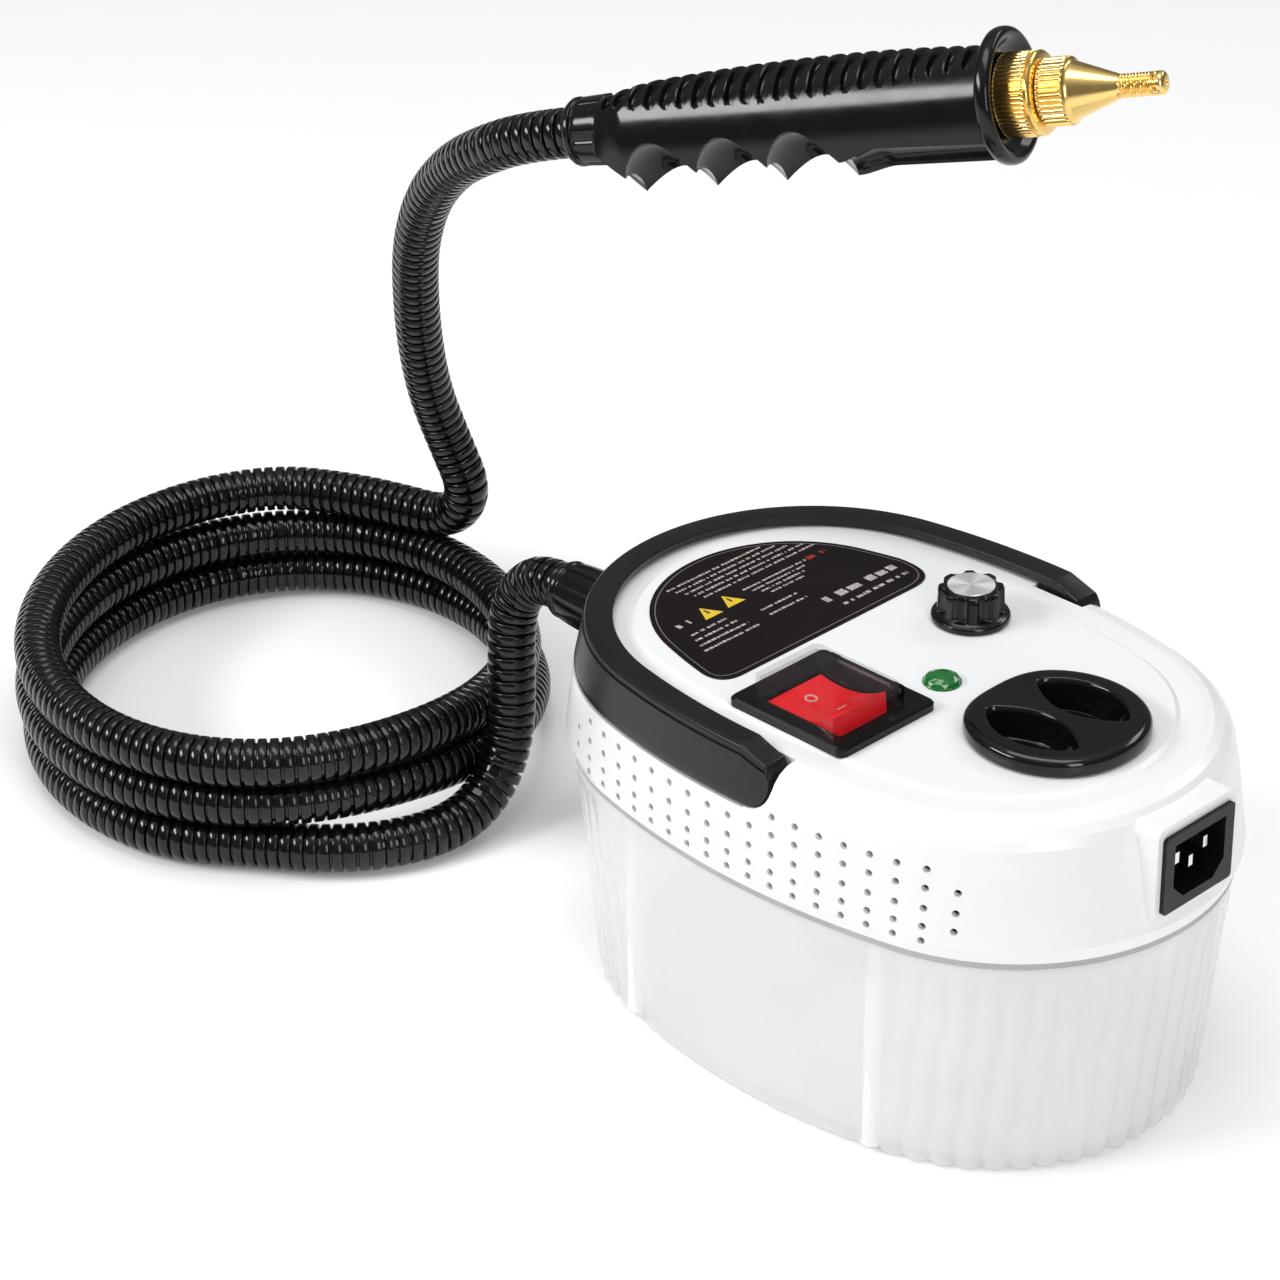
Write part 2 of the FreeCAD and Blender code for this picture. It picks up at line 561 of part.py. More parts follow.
def make_inlet():
    plate = box(INLET_X, INLET_X + INLET[2], -INLET[0] / 2, INLET[0] / 2,
                INLET_Z - INLET[1] / 2, INLET_Z + INLET[1] / 2)
    corners = [edge for edge in plate.Edges if abs(edge.BoundBox.XLength - INLET[2]) < 0.1]
    plate = plate.makeFillet(1.5, corners)
    shell = box(107.0, INLET_X, -INLET_BODY[0] / 2, INLET_BODY[0] / 2,
                INLET_Z - INLET_BODY[1] / 2, INLET_Z + INLET_BODY[1] / 2)
    socket = plate.fuse(shell).cut(inlet_recess(17.0))
    blades = []
    for y, z in ((-7.0, 2.0), (7.0, 2.0), (0.0, -2.0)):
        blades.append(box(101.0, 124.5, y - 1.0, y + 1.0, INLET_Z + z - 2.0, INLET_Z + z + 2.0))
    parts["inlet_blades"] = Part.makeCompound(blades)
    parts["inlet_socket"] = socket.cut(blades).removeSplitter()


# ---------------------------------------------------------------- boiler and steam circuit
BOARD_Z = 98.0
BOARD_TOP = 99.6
BOILER = (-98.0, -34.0, -30.0, 30.0)
BOILER_Z = (98.0, 110.0, 121.0)
FEED_X = -42.0
STEAM_Z = 106.0


def boiler_half(z0, z1):
    x0, x1, y0, y1 = BOILER
    half = block(((x0 + x1) / 2, 0), (x1 - x0, y1 - y0), z0, z1, 10.0)
    lugs = [post((x, y), 5.0, z0, z1) for x in (x0 + 6, x1 - 6) for y in (y0 - 1, y1 + 1)]
    holes = [post((x, y), 2.0, 90, 130) for x in (x0 + 6, x1 - 6) for y in (y0 - 1, y1 + 1)]
    return half.fuse(lugs).cut(holes)


def make_boiler():
    x0, x1, y0, y1 = BOILER
    low, mid, high = BOILER_Z
    chamber = block(((x0 + x1) / 2, 0), (x1 - x0 - 14, y1 - y0 - 14), mid - 7, mid + 6, 6.0)
    element = Part.makeTorus(21, 3.0, V((x0 + x1) / 2, 0, low + 2.0))
    element = element.common(box(x0, x1, y0, y1, low - 0.6, mid))
    outlet = rod(V(x0 - 1, 0, STEAM_Z), X_AXIS, 2.5, 10)
    inlet = post((FEED_X, 0), 2.4, mid, high + 1)
    parts["boiler_lower"] = largest_solid(boiler_half(low, mid).cut([chamber, element, outlet]))
    parts["boiler_upper"] = boiler_half(mid, high).cut([chamber, inlet])
    parts["heating_element"] = element
    screws = []
    spacers = []
    for x in (x0 + 6, x1 - 6):
        for y in (y0 - 1, y1 + 1):
            screws.append(post((x, y), 2.0, SEAM_Z + 3.5, high).fuse(post((x, y), 3.6, high, high + 2.4)))
            spacers.append(post((x, y), 4.6, SEAM_Z + 3.5, low).cut(post((x, y), 2.0, 80, 130)))
    spacers += [post((x, y), 2.6, SEAM_Z + 3.5, BOARD_Z) for x in (27, 79) for y in (41, 58)]
    parts["boiler_screws"] = Part.makeCompound(screws)
    parts["chassis_spacers"] = Part.makeCompound(spacers)
    thermostat = turned([(0, 0), (8.0, 0), (8.0, 3.0), (6.6, 3.0), (6.6, 8.0), (0, 8.0)], V(-78, 12, high))
    terminals = [box(-78 + dx - 0.4, -78 + dx + 0.4, 9.0, 15.0, high + 8, high + 9.6) for dx in (-4, 4)]
    parts["thermostat"] = thermostat.fuse(terminals)
    fuse = rod(V(-60, -12, high + 2.2), X_AXIS, 2.2, 16)
    leads = rod(V(-64, -12, high + 2.2), X_AXIS, 0.5, 24)
    parts["thermal_fuse"] = fuse.fuse(leads)


def make_pump():
    x, y = PUMP_C
    fitting = turned([(0, 0), (3.2, 0), (3.2, 7), (6.0, 7), (6.0, 12.5), (0, 12.5)], V(x, y, 79.0))
    flange = hexagon(PUMP_C, 14.0, SEAM_Z + 3.5, 95.0)
    fitting = fitting.fuse([post(PUMP_C, 6.0, 86.0, SEAM_Z + 3.5), flange]).cut(post(PUMP_C, 1.6, 70, 100))
    parts["pump_inlet_fitting"] = fitting.removeSplitter()
    barrel = post(PUMP_C, 5.4, 95.0, 119.0)
    bobbin = block(PUMP_C, (24, 24), 97.0, 117.0, 5.0)
    bore = post(PUMP_C, 3.2, 90, 117.0)
    parts["pump_coil"] = barrel.fuse(bobbin).cut([bore, post(PUMP_C, 1.6, 100, 125)]).removeSplitter()
    yoke = block(PUMP_C, (27.4, 20), 95.0, 119.0).cut([block(PUMP_C, (24.2, 30), 97.0, 117.0), barrel])
    parts["pump_yoke"] = yoke
    plunger = post(PUMP_C, 3.2 - RUN_FIT, 95.3, 106.0).cut(post(PUMP_C, 1.4, 90, 120))
    parts["pump_plunger"] = plunger
    helix = Part.makeHelix(1.6, 9.6, 2.2)
    wire_section = Part.Wire([Part.makeCircle(0.35, V(2.2, 0, 0), Y_AXIS)])
    spring = Part.Wire(helix.Edges).makePipeShell([wire_section], True, True)
    spring.translate(V(x, y, 106.8))
    parts["pump_spring"] = spring
    outlet = turned([(0, 0), (5.0, 0), (5.0, 3), (2.6, 3), (2.6, 5), (0, 5)], V(x, y, 119.0))
    parts["pump_outlet_fitting"] = outlet.cut(post(PUMP_C, 1.2, 110, 130))


def make_plumbing():
    x, y = PUMP_C
    feed = [V(x, y, 124.0), V(x, y, 127.0), V(x - 5, y, 128.4), V(x - 14, y + 0.5, 128.2),
            V(x - 23, y, 128.4), V(FEED_X + 0.2, y, 126.0), V(FEED_X, y, BOILER_Z[2])]
    parts["feed_tube"] = tube(feed, 2.4, 1.3)
    suction = [V(x, y, 79.0), V(x, y, 64), V(x - 4, y + 1, 48), V(x - 9, y, 33), V(x - 9, y, 17.6)]
    parts["suction_tube"] = tube(suction, 3.0, 1.8)
    strainer = turned([(0, 0), (7.0, 0), (7.0, 9), (4.0, 12), (0, 12)], V(x - 9, y, 5.6))
    parts["suction_filter"] = strainer
    steam = [V(BOILER[0], 0, STEAM_Z), V(-103.5, 0, STEAM_Z), V(-109.5, 0, GLAND_Z), V(-116, 0, GLAND_Z)]
    parts["steam_pipe"] = tube(steam, 2.4, 1.3)


def make_gland():
    steam_bore = rod(V(-140, 0, GLAND_Z), X_AXIS, 2.4, 30)
    parts["gland_bushing"] = rod(V(-138, 0, GLAND_Z), X_AXIS, 8.0, 22).cut(steam_bore)
    nut = hexagon((0, 0), 18.4, 0, 4.0).common(post((0, 0), 9.7, -1, 6)).cut(post((0, 0), 8.0, -1, 6))
    nut.Placement = FreeCAD.Placement(V(-120.6, 0, GLAND_Z), FreeCAD.Rotation(Z_AXIS, X_AXIS))
    parts["gland_nut"] = nut
    length = -127.0 - GLAND_END_X
    collar = turned([(0, 0), (9.4, 0), (10.6, 1.4), (10.9, 4), (11.9, 7), (11.9, length), (0, length)],
                    V(GLAND_END_X, 0, GLAND_Z), X_AXIS)
    grooves = []
    for i in range(6):
        turn = math.radians(60 * i + 30)
        at = V(GLAND_END_X + 7, 12.6 * math.cos(turn), GLAND_Z + 12.6 * math.sin(turn))
        grooves.append(rod(at, X_AXIS, 1.6, length))
    wall = loft([(SEAM_Z, SEAM), (FLARE_Z, FLARE), (WAIST_Z, WAIST)], -0.02)
    space = rod(V(-138, 0, GLAND_Z), X_AXIS, 8.0, 30)
    parts["hose_gland"] = largest_solid(collar.cut(grooves).cut([wall, space]))


# ---------------------------------------------------------------- electronics and fasteners
def make_electronics():
    parts["circuit_board"] = block((53, 52), (62, 28), BOARD_Z, BOARD_TOP)
    pieces = [block((32, 46), (16, 12), BOARD_TOP, 112.0), post((47, 46), 5.0, BOARD_TOP, 116.0),
              post((60, 45), 4.0, BOARD_TOP, 110.0), block((76, 47.5), (10, 14), BOARD_TOP, 109.0, 1.5),
              block((46, 60), (10, 4), BOARD_TOP, 111.0)]
    parts["board_components"] = Part.makeCompound(pieces)
    sink = block((66, 59), (22, 5), BOARD_TOP, 118.0)
    slots = [box(x, x + 1.6, 58.5, 70, 90, 130) for x in range(57, 76, 4)]
    parts["heat_sink"] = sink.cut(slots)


def make_screws():
    screws = []
    for centre in TANK_POSTS:
        shank = post(centre, 1.5, TANK_H - 10, SEAM_Z + 3.5)
        screws.append(shank.fuse(post(centre, 3.2, SEAM_Z + 3.5, SEAM_Z + 5.7)))
    for centre in HOUSING_POSTS:
        shank = post(centre, 1.5, SEAM_Z, SEAM_Z + 13.5)
        screws.append(shank.fuse(post(centre, 3.2, SEAM_Z - 2.2, SEAM_Z)))
    parts["chassis_screws"] = Part.makeCompound(screws)


# ---------------------------------------------------------------- hose
def make_hose():
    parts["hose_lead"] = tube(LEAD_ROUTE, HOSE_D / 2, 0, "hose_lead")
    parts["hose_riser"] = tube(RISER_ROUTE, HOSE_D / 2, 0, "hose_riser")
    rings = []
    for reach in (HOSE_D / 2, -HOSE_D / 2):
        ellipse = Part.Ellipse(V(0, 0, 0), COIL_B + reach, COIL_A + reach)
        disc = Part.Face(Part.Wire([ellipse.toShape()])).extrude(V(0, 0, COIL_H))
        disc.rotate(V(0, 0, 0), Z_AXIS, COIL_TURN_DEG + 90)
        disc.translate(COIL_C)
        rings.append(disc)
    parts["hose_coil"] = rings[0].cut(rings[1])


# ---------------------------------------------------------------- gun
GRIP_X0 = 13.0
GRIP_X1 = 162.0
GRIP_W = 32.8
GRIP_WALL = 2.4
FLANGE_X1 = 168.0
SCALLOP_TIPS = [108.0, 81.0, 54.0, 26.0]
GRIP_SCREW_XS = (54.0, 108.0)
GRIP_SCREW_Z = -9.0
GUN_TUBE_R = 4.5
GUN_COLLAR_R = 12.3


def gun_placement():
    along = FreeCAD.Vector(GUN_DIRECTION).normalize()
    side = Z_AXIS.cross(along).normalize()
    up = along.cross(side)
    roll = math.radians(GUN_ROLL_DEG)
    up_rolled = up * math.cos(roll) + side * math.sin(roll)
    side_rolled = up_rolled.cross(along)
    return FreeCAD.Placement(GUN_ORIGIN, FreeCAD.Rotation(along, side_rolled, up_rolled, "XYZ"))


def grip_side_view(inset):
    """Closed outline in the gun's XZ plane: arched top, three finger scallops and a long palm below."""
    x0 = GRIP_X0 + inset
    x1 = GRIP_X1 - inset
    heel_z = inset - 10.4
    crown_z = 17.0 - inset
    palm_z = inset - 20.0
    tip_z = inset - 20.8
    top = Part.Arc(V(x0, 0, -heel_z), V(85, 0, 18.8 - inset), V(x1, 0, crown_z)).toShape()
    front = Part.LineSegment(V(x1, 0, crown_z), V(x1, 0, palm_z)).toShape()
    start = V(SCALLOP_TIPS[0], 0, tip_z)
    palm = Part.Arc(V(x1, 0, palm_z), V(137, 0, palm_z + 1.6), start).toShape()
    edges = [top, front, palm]
    for left in SCALLOP_TIPS[1:]:
        end = V(left, 0, tip_z)
        edges.append(Part.Arc(start, V((left + start.x) / 2, 0, tip_z + 10.0), end).toShape())
        start = end
    heel = V(x0, 0, heel_z)
    edges.append(Part.LineSegment(start, heel).toShape())
    edges.append(Part.LineSegment(heel, V(x0, 0, -heel_z)).toShape())
    return Part.Wire(edges)


def grip_body(inset):
    """Side view crossed with a rounded section."""
    side = Part.Face(grip_side_view(inset)).extrude(V(0, GRIP_W, 0))
    side.translate(V(0, -GRIP_W / 2, 0))
    half = GRIP_W / 2 - inset
    top = 19.0 - inset
    low = 22.5 - inset
    section = Part.Wire([
        Part.Arc(V(0, -half, 2), V(0, 0, top), V(0, half, 2)).toShape(),
        Part.Arc(V(0, half, 2), V(0, 0.86 * half, -11), V(0, 0.45 * half, -low)).toShape(),
        Part.LineSegment(V(0, 0.45 * half, -low), V(0, -0.45 * half, -low)).toShape(),
        Part.Arc(V(0, -0.45 * half, -low), V(0, -0.86 * half, -11), V(0, -half, 2)).toShape(),
    ])
    bar = Part.Face(section).extrude(V(200, 0, 0))
    return side.common(bar)


def make_grip_shells():
    """Two hollow halves with ribs and screw bosses, joined at the gun's middle plane."""
    collar_seat = rod(V(0, 0, 0), X_AXIS, GUN_COLLAR_R + 0.1, GRIP_X0 + 1.5)
    grip = grip_body(0).cut(grip_body(GRIP_WALL)).cut(collar_seat)
    ribs = [box(x, x + 2.0, -GRIP_W, GRIP_W, -30, 30).common(grip_body(1.0)) for x in (40, 92, 142)]
    grip = grip.fuse(ribs).cut(rod(V(-1, 0, 0), X_AXIS, GUN_TUBE_R, 200))
    starts = [V(x, -GRIP_W / 2, GRIP_SCREW_Z) for x in GRIP_SCREW_XS]
    bosses = [rod(start, Y_AXIS, 3.4, GRIP_W).common(grip_body(1.0)) for start in starts]
    shank_holes = [rod(start, Y_AXIS, 1.6, GRIP_W) for start in starts]
    head_holes = [rod(start, Y_AXIS, 3.0, GRIP_W / 2 - 9.9) for start in starts]
    grip = grip.fuse(bosses).cut(shank_holes + head_holes)
    near = grip.common(box(0, 200, -40, 0, -40, 40))
    far = grip.common(box(0, 200, 0, 40, -40, 40))
    return near, far


def make_grip_screws():
    screws = []
    for x in GRIP_SCREW_XS:
        shank = rod(V(x, -10.0, GRIP_SCREW_Z), Y_AXIS, 1.6, 18)
        head = rod(V(x, -12.2, GRIP_SCREW_Z), Y_AXIS, 2.8, 2.2)
        screws.append(shank.fuse(head))
    return Part.makeCompound(screws)


def make_gun_collar():
    ring = rod(V(0, 0, 0), X_AXIS, GUN_COLLAR_R, GRIP_X0 + 1.5).cut(rod(V(-1, 0, 0), X_AXIS, GUN_TUBE_R, 30))
    ring = largest_solid(ring)
    rear_edges = [edge for edge in ring.Edges if edge.BoundBox.XMax < 0.1 and edge.BoundBox.YLength > 20]
    ring = ring.makeFillet(1.2, rear_edges)
    grooves = []
    for i in range(6):
        turn = math.radians(60 * i)
        grooves.append(rod(V(3, 13.1 * math.cos(turn), 13.1 * math.sin(turn)), X_AXIS, 1.5, 30))
    return ring.cut(grooves)


def make_gun():
    pieces = {"gun_collar": make_gun_collar(), "grip_screws": make_grip_screws()}
    pieces["grip_shell_near"], pieces["grip_shell_far"] = make_grip_shells()
    pieces["gun_flange"] = turned([(GUN_TUBE_R, 0), (21.3, 0), (22.9, 1.7), (22.9, 4.3), (21.2, 6.0),
                                   (GUN_TUBE_R, 6.0)], V(GRIP_X1, 0, 0), X_AXIS)
    pieces["gun_tube"] = rod(V(1, 0, 0), X_AXIS, GUN_TUBE_R, 178.5).cut(rod(V(0, 0, 0), X_AXIS, 3.0, 200))
    ring_x = FLANGE_X1 + GAP
    ring_profile = [(4.8, 0), (13.6, 0), (14.2, 0.8), (14.2, 9.2), (13.4, 10.0), (4.8, 10.0)]
    pieces["coupling_ring"] = turned(ring_profile, V(ring_x, 0, 0), X_AXIS)
    nose_x = ring_x + 10.0 + GAP
    nose_profile = [(GUN_TUBE_R, 0), (10.4, 0), (11.4, 0.8), (11.4, 9.5), (10.0, 10.4), (4.0, 26.0), (4.0, 41.2),
                    (2.9, 42.0), (1.0, 42.0), (1.0, 12.0), (GUN_TUBE_R, 12.0)]
    pieces["steam_nozzle"] = turned(nose_profile, V(nose_x, 0, 0), X_AXIS)
    place = gun_placement()
    for name, piece in pieces.items():
        piece.Placement = place.multiply(piece.Placement)
        parts[name] = piece
    land = place.multVec(V(nose_x + 33.6, 0, 0))
    ring_middle = place.multVec(V(ring_x + 5, 0, 0))
    print("nozzle land", land, "direction", place.Rotation.multVec(X_AXIS), "ring", ring_middle)


# ---------------------------------------------------------------- build and write
def main():
    for make in (make_tank, make_gasket, make_chassis, make_housing, make_handle, make_switch, make_knob,
                 make_lamp, make_label, make_cap, make_inlet, make_boiler, make_pump, make_plumbing,
                 make_gland, make_electronics, make_screws, make_hose, make_gun):
        make()
    os.makedirs("parts", exist_ok=True)
    for name, shape in parts.items():
        if not shape.isValid():
            print("not valid:", name)
        shape.exportStep("parts/%s.step" % name)
    print(len(parts), "nodes written")


main()
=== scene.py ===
"""Looks of the steam cleaner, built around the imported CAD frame. Metres, +Z up.

The machine stands on its tank with +X at the mains inlet, -X at the hose gland and -Y at the switch side.
"""
import json
import math

import bpy
from mathutils import Matrix, Vector


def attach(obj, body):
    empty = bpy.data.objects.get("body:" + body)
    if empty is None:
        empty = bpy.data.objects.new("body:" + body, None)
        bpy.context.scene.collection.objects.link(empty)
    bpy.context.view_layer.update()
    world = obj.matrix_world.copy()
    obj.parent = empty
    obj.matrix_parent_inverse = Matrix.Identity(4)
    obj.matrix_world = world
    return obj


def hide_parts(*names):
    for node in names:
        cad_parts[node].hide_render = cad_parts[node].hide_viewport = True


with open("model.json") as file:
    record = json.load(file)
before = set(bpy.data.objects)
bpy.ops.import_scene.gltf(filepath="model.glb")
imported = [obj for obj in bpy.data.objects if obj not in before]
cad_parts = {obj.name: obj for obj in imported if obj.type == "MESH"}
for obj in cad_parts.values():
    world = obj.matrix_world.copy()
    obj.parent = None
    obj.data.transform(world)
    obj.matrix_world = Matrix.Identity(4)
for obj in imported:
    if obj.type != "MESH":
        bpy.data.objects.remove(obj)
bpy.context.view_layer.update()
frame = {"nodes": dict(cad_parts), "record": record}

MM = 0.001
TURN = 2 * math.pi
SHARP_ANGLE = math.radians(40)      # edges of a CAD node sharper than this get rounded


def mm(*values):
    return tuple(value * MM for value in values)


def smooth(t):
    """Eases from 0 to 1 as t goes from 0 to 1."""
    t = max(0.0, min(1.0, t))
    return t * t * (3 - 2 * t)


# ---------------------------------------------------------------- camera
CAMERA_AT = Vector((0.7452, -0.8350, 0.7655))
CAMERA_AZIMUTH = math.radians(46.15)
CAMERA_ELEVATION = math.radians(29.15)
CAMERA_ROLL = math.radians(-0.97)
CAMERA_LENS = 108.54


def make_camera():
    data = bpy.data.cameras.new("camera")
    data.sensor_width = 36
    data.lens = CAMERA_LENS
    camera = bpy.data.objects.new("camera", data)
    back = Vector((math.sin(CAMERA_AZIMUTH) * math.cos(CAMERA_ELEVATION),
                   -math.cos(CAMERA_AZIMUTH) * math.cos(CAMERA_ELEVATION), math.sin(CAMERA_ELEVATION)))
    turn = (-back).to_track_quat("-Z", "Y").to_matrix() @ Matrix.Rotation(CAMERA_ROLL, 3, "Z")
    camera.matrix_world = Matrix.Translation(CAMERA_AT) @ turn.to_4x4()
    bpy.context.scene.collection.objects.link(camera)
    bpy.context.scene.camera = camera


# ---------------------------------------------------------------- mesh helpers
def add_mesh(name, verts, faces, flat=False):
    mesh = bpy.data.meshes.new(name)
    mesh.from_pydata([tuple(v) for v in verts], [], faces)
    mesh.validate()
    if not flat:
        mesh.shade_smooth()
    obj = bpy.data.objects.new(name, mesh)
    bpy.context.scene.collection.objects.link(obj)
    return obj


def skin_rings(name, rings, flat=False):
    """Closed mesh through rings of equally many points; each end is a fan about its ring's own middle."""
    count = len(rings[0])
    verts = [point for ring in rings for point in ring]
    faces = []
    for i in range(len(rings) - 1):
        low = i * count
        high = low + count
        for j in range(count):
            k = (j + 1) % count
            faces.append((low + j, low + k, high + k, high + j))
    for end in (0, len(rings) - 1):
        base = end * count
        hub = len(verts)
        verts.append([sum(point[axis] for point in rings[end]) / count for axis in range(3)])
        for j in range(count):
            k = (j + 1) % count
            faces.append((hub, base + k, base + j) if end == 0 else (hub, base + j, base + k))
    return add_mesh(name, verts, faces, flat)


def dense(profile, steps=4):
    """The profile with each of its spans cut into equal steps."""
    stations = []
    for (x0, r0), (x1, r1) in zip(profile, profile[1:]):
        for step in range(steps):
            stations.append((x0 + (x1 - x0) * step / steps, r0 + (r1 - r0) * step / steps))
    return stations + [profile[-1]]


def lathe(name, profile, place, segments, wave=None):
    """Turned solid about local X from (x, radius) points in mm; wave(x, turn) in mm adds to the radius."""
    rings = []
    for x, radius in profile:
        ring = []
        for j in range(segments):
            turn = TURN * j / segments
            r = radius + (wave(x, turn) if wave else 0.0)
            ring.append(place @ Vector(mm(x, -r * math.sin(turn), r * math.cos(turn))))
        rings.append(ring)
    return skin_rings(name, rings)


def crease(obj, degrees):
    """Keeps edges sharper than this angle hard under smooth shading."""
    limit = math.radians(degrees)
    mesh = obj.data
    normals = {}
    for polygon in mesh.polygons:
        for key in polygon.edge_keys:
            normals.setdefault(key, []).append(polygon.normal.copy())
    for edge in mesh.edges:
        pair = normals.get(tuple(sorted(edge.vertices)), [])
        edge.use_edge_sharp = len(pair) == 2 and pair[0].angle(pair[1], 0.0) > limit
    return obj


def bevel(obj, width):
    """Rounds the sharp edges of a piece by a width in mm."""
    modifier = obj.modifiers.new("rounded edges", "BEVEL")
    modifier.width = width * MM
    modifier.segments = 2
    modifier.limit_method = "ANGLE"
    modifier.angle_limit = SHARP_ANGLE
    modifier.harden_normals = True


def dress(obj, body, slot, material, *nodes):
    """Puts a piece on its body, with its finish and the CAD nodes that it stands for."""
    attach(obj, body)
    obj.data.materials.clear()
    obj.data.materials.append(material)
    if nodes:
        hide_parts(*nodes)
    return obj


# ---------------------------------------------------------------- materials
PLASTIC_IOR = 1.5
COAT_ROUGHNESS = 0.06
GRAIN_STRENGTH = 0.35
# The band of a noise texture's values that is spread over a finish's whole range.
NOISE_LOW = 0.3
NOISE_HIGH = 0.7


def finish(name, colour, roughness, metallic=0.0, mottle=0.06, grain=900.0, relief=0.02, rough_spread=0.03,
           coat=0.0, alpha=1.0, glow=0.0, subsurface=0.0, specular=0.5, flecks=45.0):
    """Moulded or machined surface: mottled colour, uneven gloss and a fine grain in the normals."""
    made = bpy.data.materials.new(name)
    made.use_nodes = True
    tree = made.node_tree
    nodes, links = tree.nodes, tree.links
    shader = nodes["Principled BSDF"]
    place = nodes.new("ShaderNodeTexCoord")

    def noise(scale, detail):
        node = nodes.new("ShaderNodeTexNoise")
        node.inputs["Scale"].default_value = scale
        node.inputs["Detail"].default_value = detail
        links.new(place.outputs["Object"], node.inputs["Vector"])
        return node.outputs["Fac"]

    def mapped(source, low, high):
        node = nodes.new("ShaderNodeMapRange")
        node.inputs["From Min"].default_value = NOISE_LOW
        node.inputs["From Max"].default_value = NOISE_HIGH
        node.inputs["To Min"].default_value = low
        node.inputs["To Max"].default_value = high
        links.new(source, node.inputs["Value"])
        return node.outputs["Result"]

    ramp = nodes.new("ShaderNodeValToRGB")
    ramp.color_ramp.elements[0].position = NOISE_LOW
    ramp.color_ramp.elements[1].position = NOISE_HIGH
    ramp.color_ramp.elements[0].color = (*[c * (1 - mottle) for c in colour], 1)
    ramp.color_ramp.elements[1].color = (*[min(1.0, c * (1 + mottle)) for c in colour], 1)
    links.new(noise(flecks, 4.0), ramp.inputs["Fac"])
    links.new(ramp.outputs["Color"], shader.inputs["Base Color"])
    links.new(mapped(noise(120.0, 5.0), max(0.02, roughness - rough_spread), roughness + rough_spread),
              shader.inputs["Roughness"])
    bump = nodes.new("ShaderNodeBump")
    bump.inputs["Strength"].default_value = GRAIN_STRENGTH
    bump.inputs["Distance"].default_value = relief * MM
    links.new(noise(grain, 3.0), bump.inputs["Height"])
    links.new(bump.outputs["Normal"], shader.inputs["Normal"])
    shader.inputs["Metallic"].default_value = metallic
    shader.inputs["IOR"].default_value = PLASTIC_IOR
    shader.inputs["Specular IOR Level"].default_value = specular
    shader.inputs["Coat Weight"].default_value = coat
    shader.inputs["Coat Roughness"].default_value = COAT_ROUGHNESS
    shader.inputs["Alpha"].default_value = alpha
    shader.inputs["Subsurface Weight"].default_value = subsurface
    shader.inputs["Subsurface Radius"].default_value = (0.004, 0.004, 0.004)
    # Emission: the light of the lamp and the lit rocker, an evenly brighter floor, and painted light on the
    # tank and its pillars.
    if glow:
        shader.inputs["Emission Color"].default_value = (*colour, 1)
        shader.inputs["Emission Strength"].default_value = glow
    return made


MATERIALS = {
    # The tank's faint glow is painted light that brightens the clear plastic.
    "tank_clear": finish("tank_clear", (0.95, 0.955, 0.96), 0.16, alpha=0.5, mottle=0.02, grain=350,
                         relief=0.03, coat=0.3, glow=0.03),
    "seal_rubber": finish("seal_rubber", (0.42, 0.43, 0.44), 0.55, relief=0.03),
    "housing_white": finish("housing_white", (0.84, 0.85, 0.86), 0.24, mottle=0.012, grain=1400, relief=0.006,
                            rough_spread=0.01),
    "chassis_plastic": finish("chassis_plastic", (0.72, 0.73, 0.74), 0.5, mottle=0.03),
    "handle_black": finish("handle_black", (0.011, 0.0115, 0.012), 0.3, grain=2200, relief=0.012, mottle=0.15,
                           specular=0.28),
    "label_dark": finish("label_dark", (0.006, 0.003, 0.003), 0.2, grain=1600, relief=0.004, mottle=0.25,
                         specular=0.22),
    "switch_black": finish("switch_black", (0.004, 0.004, 0.0045), 0.2, mottle=0.2, grain=1800, relief=0.006,
                           specular=0.25),
    "rocker_red": finish("rocker_red", (0.80, 0.006, 0.012), 0.14, mottle=0.08, glow=0.36, coat=0.3),
    "cover_smoke": finish("cover_smoke", (0.05, 0.045, 0.045), 0.04, alpha=0.14, mottle=0.05, relief=0.001,
                          specular=0.4, rough_spread=0.02),
    "knob_black": finish("knob_black", (0.004, 0.004, 0.0045), 0.16, mottle=0.2, relief=0.006, specular=0.35),
    "disc_aluminium": finish("disc_aluminium", (0.90, 0.90, 0.91), 0.3, metallic=0.85, mottle=0.03),
    "lamp_green": finish("lamp_green", (0.004, 0.13, 0.02), 0.08, mottle=0.3, coat=0.5, relief=0.003,
                         glow=0.15),
    "cap_black": finish("cap_black", (0.004, 0.004, 0.0045), 0.11, mottle=0.2, grain=1500, relief=0.004,
                        coat=0.1, specular=0.38),
    "inlet_black": finish("inlet_black", (0.006, 0.006, 0.0065), 0.3, mottle=0.15, relief=0.012,
                          specular=0.25),
    "blade_metal": finish("blade_metal", (0.78, 0.76, 0.72), 0.22, metallic=1.0),
    "hose_black": finish("hose_black", (0.004, 0.004, 0.0045), 0.14, mottle=0.25, grain=700, relief=0.012,
                         specular=0.42),
    "grip_black": finish("grip_black", (0.004, 0.004, 0.0045), 0.15, mottle=0.2, grain=1500, relief=0.006,
                         specular=0.34),
    "brass": finish("brass", (0.93, 0.65, 0.23), 0.2, metallic=1.0, mottle=0.06, grain=1200, relief=0.01),
    "boiler_aluminium": finish("boiler_aluminium", (0.62, 0.62, 0.63), 0.42, metallic=1.0, relief=0.06),
    "steel": finish("steel", (0.58, 0.58, 0.59), 0.3, metallic=1.0),
    "board_green": finish("board_green", (0.02, 0.18, 0.07), 0.35, mottle=0.15),
    "component_black": finish("component_black", (0.03, 0.03, 0.033), 0.5, mottle=0.2),
    "tube_silicone": finish("tube_silicone", (0.8, 0.8, 0.77), 0.4, subsurface=0.1),
    # The pillars' glow is painted light that shows them as pale strips in the tank.
    "pillar_clear": finish("pillar_clear", (0.97, 0.975, 0.98), 0.2, alpha=0.6, mottle=0.02, relief=0.02,
                           glow=0.1),
}


